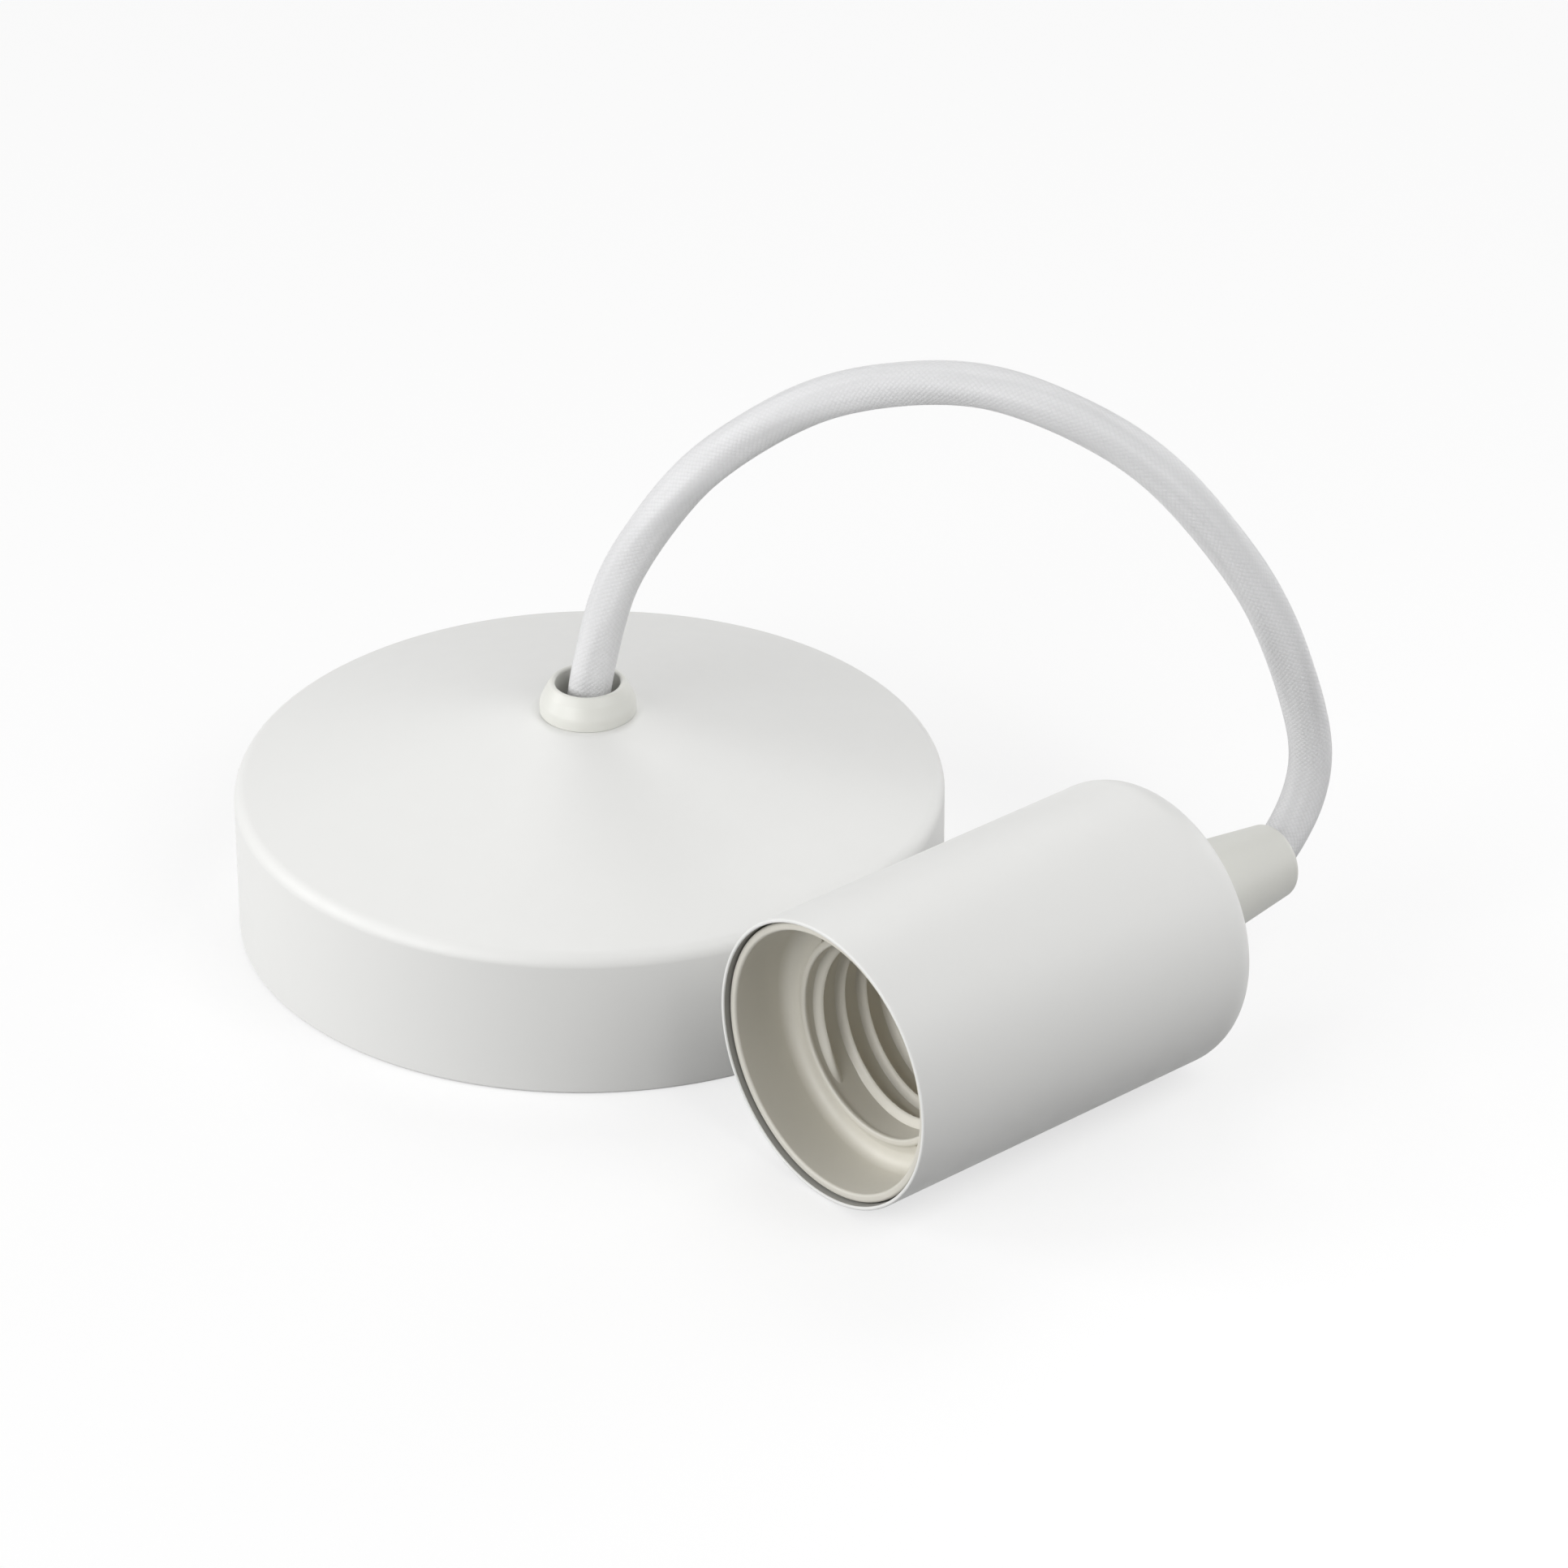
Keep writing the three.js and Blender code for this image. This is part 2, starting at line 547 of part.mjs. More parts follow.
function ceilingRose() {
  const group = new THREE.Group();
  group.add(piece('rose_cover', roseCover(), whitePaint));
  group.add(piece('rose_collar', roseCollar(), whitePlastic));
  group.add(piece('threaded_tube', threadedTube(), zincSteel));
  const nutBore = TUBE_RADIUS + FIT / 2;
  const upperNut = BRACKET_RAISE + SEAT;
  group.add(piece('tube_nut_upper', hexNut(nutBore, NUT_THICKNESS), zincSteel, [0, 0, upperNut]));
  const lowerNut = bracketUnderside - SEAT - NUT_THICKNESS;
  group.add(piece('tube_nut_lower', hexNut(nutBore, NUT_THICKNESS), zincSteel, [0, 0, lowerNut]));
  group.add(piece('mounting_bracket', mountingBracket(), zincSteel));
  const clamp = cordClamp('rose');
  clamp.position.z = roseClampBottom;
  clamp.rotation.z = Math.PI / 2;
  group.add(clamp);
  group.add(piece('terminal_block', terminalBlockBody(), clearNylon));
  const screwPlace = [BLOCK_START + BLOCK_LENGTH / 2, BLOCK_POLE_PITCH / 2, 0];
  group.add(piece('terminal_block_screw', blockFixingScrew(), zincSteel, screwPlace));
  ['live', 'earth', 'neutral'].forEach((pole, i) => {
    const y = blockPoles[i];
    group.add(piece(`block_sleeve_${pole}`, poleSleeve(), brass, [0, y, blockSleeveZ]));
    poleScrewPlaces().forEach((x, side) => {
      const name = `block_screw_${pole}_${side === 0 ? 'cord' : 'mains'}`;
      group.add(piece(name, poleScrew(), brass, [x, y, 0]));
    });
  });
  const third = (2 * Math.PI) / 3;
  group.add(piece('rose_core_live', roseCore(-third, blockPoles[0]), liveInsulation));
  group.add(piece('rose_core_earth', roseCore(0, blockPoles[1]), earthInsulation));
  group.add(piece('rose_core_neutral', roseCore(third, blockPoles[2]), neutralInsulation));
  return group;
}

// Lamp holder, turned about its own axis with depth along +Y

function holderCover() {
  const inner = HOLDER_RADIUS - HOLDER_WALL;
  const round = HOLDER_SHOULDER_ROUND;
  const lip = HOLDER_LIP_ROUND;
  const centre = HOLDER_RADIUS - round;
  const hole = TUBE_RADIUS + FIT;
  return turnedAboutY([
    [inner, lip],
    [inner + lip, 0],
    [HOLDER_RADIUS - lip, 0],
    [HOLDER_RADIUS, lip],
    ...cornerArc(centre, HOLDER_LENGTH - round, round, 0, 90, 6),
    [hole, HOLDER_LENGTH],
    [hole, coverRearInside],
    ...cornerArc(centre, HOLDER_LENGTH - round, round - HOLDER_WALL, 90, 0, 6),
  ], COVER_SEGMENTS);
}

function holderNeck() {
  const base = HOLDER_LENGTH + SEAT;
  const end = HOLDER_LENGTH + NECK_LENGTH;
  const lean = THREE.MathUtils.radToDeg(Math.atan2(NECK_BASE_RADIUS - NECK_END_RADIUS, NECK_LENGTH));
  const roundMiddle = end - NECK_END_ROUND * Math.sin(THREE.MathUtils.degToRad(NECK_END_TURN));
  return turnedAboutY([
    [TUBE_BORE, shankEnd],
    [TUBE_RADIUS, shankEnd],
    [TUBE_RADIUS, base],
    [NECK_BASE_RADIUS, base],
    ...cornerArc(NECK_END_RADIUS - NECK_END_ROUND, roundMiddle, NECK_END_ROUND, lean, NECK_END_TURN, 4),
    [NECK_FLARE_RADIUS, end - 0.15],
    [TUBE_BORE, end - NECK_FLARE_LENGTH],
  ], 32);
}

function threadProfile() {
  const points = [];
  for (let i = THREAD_CRESTS - 1; i >= 0; i--) {
    const crest = THREAD_FIRST_CREST + i * THREAD_PITCH;
    const flat = THREAD_CREST_FLAT / 2;
    points.push([THREAD_ROOT_RADIUS, crest + flat + THREAD_FLANK]);
    points.push([THREAD_CREST_RADIUS, crest + flat]);
    points.push([THREAD_CREST_RADIUS, crest - flat]);
    points.push([THREAD_ROOT_RADIUS, crest - flat - THREAD_FLANK]);
  }
  return points;
}

// A notch for a latch in the socket's shoulder, at an angle about the holder's axis
function latchNotch(degrees) {
  const half = NOTCH_WIDTH / 2;
  const low = [NOTCH_INNER_RADIUS, SOCKET_SHOULDER_DEPTH - slotCut, -half];
  const high = [NOTCH_OUTER_RADIUS, SOCKET_SHOULDER_DEPTH + NOTCH_DEPTH, half];
  return block(low, high).rotateY(THREE.MathUtils.degToRad(degrees));
}

function lampSocket() {
  const lip = SOCKET_WALL * 0.3;
  const shoulder = SOCKET_SHOULDER_DEPTH;
  const foot = shoulder + SOCKET_GROOVE_DEPTH;
  const body = turnedAboutY([
    [socketBore + lip, SOCKET_RECESS],
    [socketRadius - lip, SOCKET_RECESS],
    [socketRadius, SOCKET_RECESS + lip],
    [socketRadius, foot + SOCKET_FLOOR],
    [threadTubeRadius, foot + SOCKET_FLOOR],
    [threadTubeRadius, threadEnd],
    [THREAD_ROOT_RADIUS, threadEnd],
    ...threadProfile(),
    [SOCKET_SHOULDER_LIP, shoulder + 0.4],
    [SOCKET_SHOULDER_LIP + 0.3, shoulder],
    [SOCKET_SHOULDER_LIP + 0.8, shoulder],
    [SOCKET_SHOULDER_LIP + 1.2, foot - 0.6],
    [socketBore - 2.0, foot],
    [socketBore - 1.0, foot - 0.15],
    [socketBore - 0.3, foot - 0.8],
    [socketBore, foot - 1.9],
    [socketBore, SOCKET_RECESS + lip],
  ], SOCKET_SEGMENTS);
  return cut(body, latchNotch(180 + NOTCH_ANGLE), latchNotch(NOTCH_ANGLE));
}

function terminalChamber(side) {
  const half = TERMINAL_SIZE / 2 + FIT;
  const x = side * TERMINAL_OFFSET;
  const floor = carrierRear - TERMINAL_DEPTH - FIT;
  return block([x - half, floor, -half], [x + half, carrierRear + slotCut, half]);
}

function contactCarrier() {
  const rim = threadTubeRadius + FIT;
  const body = turnedAboutY([
    [0, carrierFront], [rim, carrierFront], [rim, carrierFront - CARRIER_RIM_REACH],
    [carrierRadius, carrierFront - CARRIER_RIM_REACH], [carrierRadius, carrierRear], [0, carrierRear],
  ], SOCKET_SEGMENTS);
  const chambers = [-1, 1].map(terminalChamber);
  const rivetHoles = [-TERMINAL_OFFSET, TERMINAL_OFFSET].map((x) => (
    rodAlongY(RIVET_RADIUS + FIT, carrierFront - slotCut, carrierRear).translate(x, 0, 0)));
  const screwDepth = carrierRear - TERMINAL_DEPTH / 2;
  const driverWays = [-TERMINAL_OFFSET, TERMINAL_OFFSET].map((x) => (
    rodAlongZ(SCREW_HEAD_RADIUS, 0, carrierRadius + slotCut).translate(x, screwDepth, 0)));
  return cut(body, ...chambers, ...rivetHoles, ...driverWays);
}

// A bent strip of brass sheet: its middle line in depth and sideways, thickened and given a width
function bentStrip(points, width) {
  const half = CONTACT_SHEET / 2;
  const sides = [1, -1].map((side) => points.map(([x, y], i) => {
    const [x0, y0] = points[Math.max(i - 1, 0)];
    const [x1, y1] = points[Math.min(i + 1, points.length - 1)];
    const shift = (side * half) / Math.hypot(x1 - x0, y1 - y0);
    return new THREE.Vector2(x - shift * (y1 - y0), y + shift * (x1 - x0));
  }));
  const outline = new THREE.Shape([...sides[0], ...sides[1].reverse()]);
  const strip = new THREE.ExtrudeGeometry(outline, { depth: width, bevelEnabled: false });
  return strip.translate(0, 0, -width / 2);
}

function withRivetHole(strip, x) {
  return cut(strip, rodAlongY(RIVET_RADIUS + FIT / 2, 0, carrierRear).translate(x, 0, 0));
}

// The spring tongue that meets the lamp's foot, lifted towards the mouth at the socket's middle
function centreContact() {
  const seat = carrierFront - CONTACT_SHEET / 2 - SEAT;
  const strip = bentStrip([
    [TERMINAL_OFFSET + 2.2, seat], [TERMINAL_OFFSET - 2.2, seat], [4.2, seat - 1.0], [1.6, seat - 3.0],
    [0, seat - 3.4], [-1.8, seat - 2.8],
  ], CONTACT_WIDTH);
  return withRivetHole(strip, TERMINAL_OFFSET);
}

// The strip that meets the side of the lamp's screw shell
function sideContact() {
  const seat = carrierFront - CONTACT_SHEET / 2 - SEAT;
  const wall = THREAD_CREST_RADIUS - 1.0;
  const strip = bentStrip([
    [1 - TERMINAL_OFFSET + 1.2, seat], [-TERMINAL_OFFSET - 1.8, seat], [-wall, seat - 1.2],
    [-wall, seat - 4.2], [-wall + 0.9, seat - 5.6],
  ], CONTACT_WIDTH - 1);
  return withRivetHole(strip, -TERMINAL_OFFSET);
}

function contactRivet() {
  const head = carrierFront - CONTACT_SHEET - 2 * SEAT;
  const tail = carrierRear - TERMINAL_DEPTH - SEAT;
  return turnedAboutY([
    [0, head - RIVET_HEAD_HEIGHT], [RIVET_HEAD_RADIUS - 0.6, head - RIVET_HEAD_HEIGHT],
    [RIVET_HEAD_RADIUS, head], [RIVET_RADIUS, head], [RIVET_RADIUS, tail - SEAT], [0, tail - SEAT],
  ], SCREW_SEGMENTS);
}

function holderTerminal() {
  const half = TERMINAL_SIZE / 2;
  const body = block([-half, carrierRear - TERMINAL_DEPTH, -half], [half, carrierRear, half]);
  const wireHole = rodAlongY(WIRE_HOLE_RADIUS, carrierRear - TERMINAL_DEPTH + 1, carrierRear + slotCut);
  const middle = carrierRear - TERMINAL_DEPTH / 2;
  const screwHole = rodAlongZ(SCREW_RADIUS + FIT / 2, 0, half + slotCut).translate(0, middle, 0);
  return cut(body, wireHole, screwHole);
}

function holderTerminalScrew() {
  const headSeat = TERMINAL_SIZE / 2 + FIT;
  const reach = headSeat - CORE_RADIUS - 0.1;
  return screw(reach, SCREW_HEAD_RADIUS - FIT).translate(0, carrierRear - TERMINAL_DEPTH / 2, headSeat);
}

function rearCap() {
  const inner = carrierRadius - CAP_WALL;
  return turnedAboutY([
    [inner, capFront], [carrierRadius, capFront], [carrierRadius, capRear - 1],
    [carrierRadius - 1, capRear], [TUBE_RADIUS + FIT, capRear], [TUBE_RADIUS + FIT, capDiscFront],
    [inner, capDiscFront],
  ], SOCKET_SEGMENTS);
}

function earthTag() {
  const tagRear = tagFront + TAG_THICKNESS;
  const section = ringSection(TUBE_RADIUS + FIT / 2, TAG_RADIUS, tagFront, tagRear);
  const ring = turnedAboutY(section, SMALL_SEGMENTS);
  const half = TAG_TONGUE_WIDTH / 2;
  const tongue = block([-half, tagFront, TAG_RADIUS - 1], [half, tagRear, TAG_TONGUE_REACH]);
  return join(ring, tongue);
}

function holderNut(front) {
  return hexNut(TUBE_RADIUS + FIT / 2, NUT_THICKNESS).rotateX(-Math.PI / 2).translate(0, front, 0);
}

// A conductor from the cord's end forward and sideways into a terminal
function holderCore(side) {
  const start = holderSheathEnd - FIT;
  const startX = side * CORE_ORBIT * Math.cos(Math.PI / 6);
  const startZ = -CORE_ORBIT / 2;
  const x = side * TERMINAL_OFFSET;
  const entry = carrierRear - TERMINAL_DEPTH + 1.6;
  return flexTube([
    [startX, start, startZ], [startX, start - 1.4, startZ], [startX + side * 1.4, start - 2.6, startZ],
    [x - side * 1.6, carrierRear + 3.4, 0], [x, carrierRear + 2.2, 0], [x, carrierRear, 0], [x, entry, 0],
  ], CORE_RADIUS, CORE_SIDES, 14);
}

// The earth conductor turns back beside the clamp and ends against the tag's tongue
function holderEarthCore() {
  const start = holderSheathEnd - FIT;
  const height = TAG_TONGUE_REACH - 1.6;
  return flexTube([
    [0, start, CORE_ORBIT], [0, start - 1.2, CORE_ORBIT], [0, start - 2.6, CORE_ORBIT + 1.6],
    [0, start - 2.4, height - 1.5], [0, start - 1.0, height], [0, start + 1.6, height],
    [0, tagFront - FIT, height],
  ], CORE_RADIUS, CORE_SIDES, 16);
}

function lampHolder() {
  const group = new THREE.Group();
  group.add(piece('holder_cover', holderCover(), whitePaint));
  group.add(piece('holder_neck', holderNeck(), whitePlastic));
  group.add(piece('neck_nut', holderNut(neckNutFront), zincSteel));
  group.add(piece('cap_lock_nut', holderNut(lockNutFront), zincSteel));
  group.add(piece('earth_tag', earthTag(), brass));
  group.add(piece('rear_cap', rearCap(), carrierPlastic));
  group.add(piece('lamp_socket', lampSocket(), socketPlastic));
  group.add(piece('contact_carrier', contactCarrier(), carrierPlastic));
  group.add(piece('centre_contact', centreContact(), brass));
  group.add(piece('side_contact', sideContact(), brass));
  const sides = { live: TERMINAL_OFFSET, neutral: -TERMINAL_OFFSET };
  for (const [pole, x] of Object.entries(sides)) {
    group.add(piece(`contact_rivet_${pole}`, contactRivet(), brass, [x, 0, 0]));
    group.add(piece(`holder_terminal_${pole}`, holderTerminal(), brass, [x, 0, 0]));
    group.add(piece(`holder_terminal_screw_${pole}`, holderTerminalScrew(), zincSteel, [x, 0, 0]));
  }
  const clamp = cordClamp('holder');
  clamp.rotation.x = -Math.PI / 2;
  clamp.position.y = holderClampFront;
  group.add(clamp);
  group.add(piece('holder_core_live', holderCore(1), liveInsulation));
  group.add(piece('holder_core_neutral', holderCore(-1), neutralInsulation));
  group.add(piece('holder_core_earth', holderEarthCore(), earthInsulation));
  return group;
}

// The whole set. The origin is the middle of the box round the rose and the holder, on the surface
// that both lie on.
function pendantCordSet() {
  const laidOut = new THREE.Group();
  laidOut.position.x = -(HOLDER_X + HOLDER_RADIUS - ROSE_RADIUS) / 2;
  laidOut.position.y = -(neckEndY - ROSE_RADIUS) / 2;
  laidOut.add(ceilingRose());
  const holder = lampHolder();
  holder.position.set(HOLDER_X, HOLDER_MOUTH_Y, HOLDER_RADIUS);
  laidOut.add(holder);
  const cord = flexTube(CORD_ROUTE, CORD_RADIUS, CORD_SIDES, CORD_STEPS);
  laidOut.add(piece('pendant_cord', cord, textile));
  const set = new THREE.Group();
  set.add(laidOut);
  return set;
}

export default pendantCordSet();
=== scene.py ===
"""A white pendant cord set: ceiling rose, braided cord and E27 lamp holder, laid out on a table.

All sizes are in metres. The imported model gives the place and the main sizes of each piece, and the
operators below dress it with turned, bent and braided pieces and with their finishes.
"""

import json
import math

import bmesh
import bpy
from bpy.props import FloatProperty, FloatVectorProperty, IntProperty, PointerProperty
from mathutils import Matrix, Vector


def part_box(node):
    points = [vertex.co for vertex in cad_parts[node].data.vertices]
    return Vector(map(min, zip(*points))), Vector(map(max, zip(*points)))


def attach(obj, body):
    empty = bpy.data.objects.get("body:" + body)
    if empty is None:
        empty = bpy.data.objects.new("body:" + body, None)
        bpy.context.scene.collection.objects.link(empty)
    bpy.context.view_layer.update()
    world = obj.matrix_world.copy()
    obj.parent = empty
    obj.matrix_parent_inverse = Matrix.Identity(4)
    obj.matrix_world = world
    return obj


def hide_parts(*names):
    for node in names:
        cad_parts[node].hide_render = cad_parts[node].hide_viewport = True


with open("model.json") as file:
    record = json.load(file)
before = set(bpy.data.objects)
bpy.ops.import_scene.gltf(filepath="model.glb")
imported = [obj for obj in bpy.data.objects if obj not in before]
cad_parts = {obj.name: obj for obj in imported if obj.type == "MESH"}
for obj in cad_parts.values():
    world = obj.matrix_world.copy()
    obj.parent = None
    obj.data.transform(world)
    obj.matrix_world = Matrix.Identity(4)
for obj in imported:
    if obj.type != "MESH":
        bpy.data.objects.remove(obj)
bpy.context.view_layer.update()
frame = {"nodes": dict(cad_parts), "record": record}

bl_info = {
    "name": "Pendant Cord Set",
    "version": (1, 0, 0),
    "blender": (4, 5, 0),
    "location": "View3D > Sidebar > Pendant",
    "description": "Builds a ceiling rose, a braided cord and an E27 lamp holder",
    "category": "Object",
}

MM = 0.001
BODY = "root"


def box_middle(node):
    """The middle of a node's box."""
    low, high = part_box(node)
    return (Vector(low) + Vector(high)) / 2


def box_size(node):
    """The three sides of a node's box."""
    low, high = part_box(node)
    return Vector(high) - Vector(low)


ROSE_FOOT = Vector((box_middle("rose_cover").x, box_middle("rose_cover").y, 0.0))
HOLDER_MOUTH = Vector((
    box_middle("holder_cover").x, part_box("holder_cover")[0][1], box_middle("holder_cover").z))
STAND = Matrix.Translation(ROSE_FOOT)
LIE = Matrix.Translation(HOLDER_MOUTH) @ Matrix.Rotation(-math.pi / 2, 4, "X")


def linear_colour(code):
    """Turns an sRGB hex colour such as "#e7e7e4" into linear red, green and blue."""
    channels = [int(code[i:i + 2], 16) / 255 for i in (1, 3, 5)]
    return tuple(c / 12.92 if c <= 0.04045 else ((c + 0.055) / 1.055) ** 2.4 for c in channels)


def length_property(name, description, default):
    """A length in metres, with its default."""
    return FloatProperty(
        name=name, description=description, default=default, min=0.0, unit="LENGTH", precision=4)


def colour_property(name, description, code):
    """A colour whose default is an sRGB hex value."""
    return FloatVectorProperty(
        name=name, description=description, subtype="COLOR", size=3, min=0.0, max=1.0,
        default=linear_colour(code))


class RoseSizes(bpy.types.PropertyGroup):
    """Sizes of the ceiling rose and its collar."""

    radius: length_property(
        "Radius", "Outer radius of the rose", box_size("rose_cover").x / 2)
    side_height: length_property("Side height", "Height at which the cone starts", 20.4 * MM)
    top_height: length_property(
        "Top height", "Height of the flat land under the collar", box_size("rose_cover").z)
    land_radius: length_property("Land radius", "Radius of that flat land", 7.4 * MM)
    wall: length_property("Wall", "Thickness of the sheet", 1.2 * MM)
    edge_round: length_property("Edge rounding", "Rounding of the outer top edge", 2.0 * MM)
    collar_radius: length_property(
        "Collar radius", "Outer radius of the collar", box_size("rose_collar").x / 2)
    collar_height: length_property("Collar height", "Height of the collar above the land", 4.4 * MM)
    collar_bore: length_property("Collar bore", "Radius of the hole for the cord", 4.35 * MM)


class HolderSizes(bpy.types.PropertyGroup):
    """Sizes of the lamp holder, measured from its mouth."""

    radius: length_property(
        "Radius", "Outer radius of the cover", box_size("holder_cover").x / 2)
    length: length_property("Length", "Length of the cover", box_size("holder_cover").y)
    wall: length_property("Wall", "Thickness of the sheet", 0.5 * MM)
    shoulder_round: length_property("Shoulder rounding", "Rounding at the rear", 5.8 * MM)
    neck_length: length_property("Neck length", "Length of the tapered neck", 19.8 * MM)
    neck_base: length_property("Neck base", "Radius where the neck starts", 7.4 * MM)
    neck_end: length_property("Neck end", "Radius where the cord enters", 4.95 * MM)
    sleeve_radius: length_property(
        "Sleeve radius", "Outer radius of the socket's sleeve", 18.7 * MM)
    sleeve_wall: length_property("Sleeve wall", "Thickness of the sleeve", 1.15 * MM)
    thread_pitch: length_property("Thread pitch", "Pitch of the E27 thread", 3.629 * MM)
    thread_crest: length_property("Thread crest", "Radius of the thread's crest", 12.2 * MM)
    thread_root: length_property("Thread root", "Radius of the thread's root", 13.3 * MM)


class CordSizes(bpy.types.PropertyGroup):
    """Sizes of the cord and its braid."""

    radius: length_property("Radius", "Outer radius of the braid", 2.95 * MM)
    lay: length_property("Lay", "Length in which the conductors turn once", 70 * MM)
    swell: length_property("Swell", "How far each conductor swells the braid", 0.2 * MM)
    strands: IntProperty(
        name="Strands", description="Strands of the braid in each direction", default=24, min=4)


class Finishes(bpy.types.PropertyGroup):
    """Colours of the finishes."""

    powder_coat: colour_property("Powder coat", "Satin white on the two covers", "#e6e6e4")
    moulded: colour_property("Moulded plastic", "Collar and neck", "#dadad4")
    socket: colour_property("Socket plastic", "Sleeve and thread", "#d3d0c6")
    # The inside colour is painted shade for the dark gap between the holder's cover and the sleeve.
    inside_shade: colour_property("Inside_shade", "Inside of the holder's cover", "#9c9b97")
    textile: colour_property("Textile", "Braid of the cord", "#e4e4e5")
    live: colour_property("Live", "Insulation of the live conductor", "#5f3a22")
    neutral: colour_property("Neutral", "Insulation of the neutral conductor", "#2a5f9e")
    earth: colour_property("Earth", "Green of the earth conductor", "#3f8f3a")
    earth_band: colour_property("Earth band", "Yellow of the earth conductor", "#e2c92f")


# Finishes


def add_node(tree, kind, settings=None, inputs=None):
    """Adds a node with its settings, links the inputs that are sockets and sets the others."""
    node = tree.nodes.new(kind)
    for key, value in (settings or {}).items():
        setattr(node, key, value)
    for key, value in (inputs or {}).items():
        if isinstance(value, bpy.types.NodeSocket):
            tree.links.new(value, node.inputs[key])
        else:
            node.inputs[key].default_value = value
    return node


def per_metre(millimetres):
    """The pattern scale that repeats at a real size, on coordinates in metres."""
    return 1000 / millimetres


def new_finish(name):
    """An empty material with its node tree."""
    material = bpy.data.materials.new(name)
    material.use_nodes = True
    material.node_tree.nodes.clear()
    return material, material.node_tree


def close_finish(tree, shader):
    """Links a shader to the material's output."""
    add_node(tree, "ShaderNodeOutputMaterial", inputs={"Surface": shader.outputs[0]})


def grain(tree, millimetres, detail=2.0, vector=None):
    """Even noise whose spots have a real size."""
    where = vector or add_node(tree, "ShaderNodeTexCoord").outputs["Object"]
    return add_node(tree, "ShaderNodeTexNoise", inputs={
        "Vector": where, "Scale": per_metre(millimetres), "Detail": detail}).outputs["Fac"]


def spread(tree, value, low, high, start=0.35, end=0.65):
    """Maps a pattern to a range of values."""
    return add_node(tree, "ShaderNodeMapRange", inputs={
        "Value": value, "From Min": start, "From Max": end, "To Min": low, "To Max": high,
    }).outputs["Result"]


def shade_of(tree, value, colour, depth):
    """The colour itself where the pattern is high, and a little darker where it is low."""
    dark = tuple(c * (1 - depth) for c in colour)
    return add_node(tree, "ShaderNodeMix", {"data_type": "RGBA"}, {
        0: value, 6: (*dark, 1.0), 7: (*colour, 1.0)}).outputs[2]


def relief(tree, height, distance_mm):
    """A bump of a real height in millimetres."""
    return add_node(tree, "ShaderNodeBump", inputs={
        "Height": height, "Distance": distance_mm * MM, "Strength": 1.0}).outputs["Normal"]


def powder_coated_steel(colours):
    """Polyester powder baked on drawn steel: satin, with a faint orange peel about 1 mm wide."""
    material, tree = new_finish("powder_coated_steel")
    peel = grain(tree, 1.4, 1.0)
    cloud = grain(tree, 22.0, 3.0)
    shader = add_node(tree, "ShaderNodeBsdfPrincipled", inputs={
        "Base Color": shade_of(tree, cloud, colours.powder_coat, 0.012),
        "Roughness": spread(tree, grain(tree, 3.0), 0.46, 0.54),
        "IOR": 1.5, "Normal": relief(tree, peel, 0.006)})
    close_finish(tree, shader)
    return material


def shaded_inside_steel(colours):
    """Darker grey on the inside of the drawn cover: painted shade for the dark gap between the cover and
    the socket's sleeve.
    """
    material, tree = new_finish("shaded_inside_steel")
    shader = add_node(tree, "ShaderNodeBsdfPrincipled", inputs={
        "Base Color": shade_of(tree, grain(tree, 4.0, 3.0), colours.inside_shade, 0.06),
        "Roughness": 0.6, "IOR": 1.5, "Normal": relief(tree, grain(tree, 0.6), 0.004)})
    close_finish(tree, shader)
    return material


def moulded_white(colours):
    """Injection-moulded white plastic: an even half gloss with a very fine spark-eroded grain."""
    material, tree = new_finish("moulded_white_plastic")
    fine = grain(tree, 0.5, 2.0)
    shader = add_node(tree, "ShaderNodeBsdfPrincipled", inputs={
        "Base Color": shade_of(tree, grain(tree, 9.0), colours.moulded, 0.012),
        "Roughness": spread(tree, fine, 0.36, 0.44),
        "IOR": 1.49, "Normal": relief(tree, fine, 0.003)})
    close_finish(tree, shader)
    return material


def moulded_socket(colours):
    """Pressed thermoset of the socket: warmer and duller, with a faint flow mottle."""
    material, tree = new_finish("pressed_thermoset")
    mottle = grain(tree, 3.5, 4.0)
    shader = add_node(tree, "ShaderNodeBsdfPrincipled", inputs={
        "Base Color": shade_of(tree, mottle, colours.socket, 0.03),
        "Roughness": spread(tree, grain(tree, 0.7), 0.42, 0.52),
        "IOR": 1.55, "Normal": relief(tree, grain(tree, 0.6), 0.004)})
    close_finish(tree, shader)
    return material


def natural_nylon():
    """Unfilled nylon of the clamps and the terminal block: milky, and it lets a little light in."""
    material, tree = new_finish("natural_nylon")
    milky = grain(tree, 4.0, 3.0)
    shader = add_node(tree, "ShaderNodeBsdfPrincipled", inputs={
        "Base Color": shade_of(tree, milky, linear_colour("#e4e2d8"), 0.04),
        "Roughness": spread(tree, milky, 0.38, 0.48),
        "IOR": 1.53, "Subsurface Weight": 0.25, "Subsurface Scale": 1.5 * MM,
        "Normal": relief(tree, grain(tree, 0.8), 0.004)})
    close_finish(tree, shader)
    return material


def zinc_plated_steel():
    """Rolled and stamped steel with bright zinc: cool, with soft spangle and faint rolling lines."""
    material, tree = new_finish("zinc_plated_steel")
    where = add_node(tree, "ShaderNodeTexCoord").outputs["Object"]
    stretched = add_node(tree, "ShaderNodeMapping", inputs={
        "Vector": where, "Scale": (0.08, 1.0, 1.0)}).outputs["Vector"]
    lines = grain(tree, 0.35, 2.0, stretched)
    spangle = grain(tree, 5.0, 4.0)
    shader = add_node(tree, "ShaderNodeBsdfPrincipled", inputs={
        "Base Color": shade_of(tree, spangle, linear_colour("#c4c7ca"), 0.14),
        "Metallic": 1.0,
        "Roughness": spread(tree, spangle, 0.28, 0.42),
        "Normal": relief(tree, lines, 0.004)})
    close_finish(tree, shader)
    return material


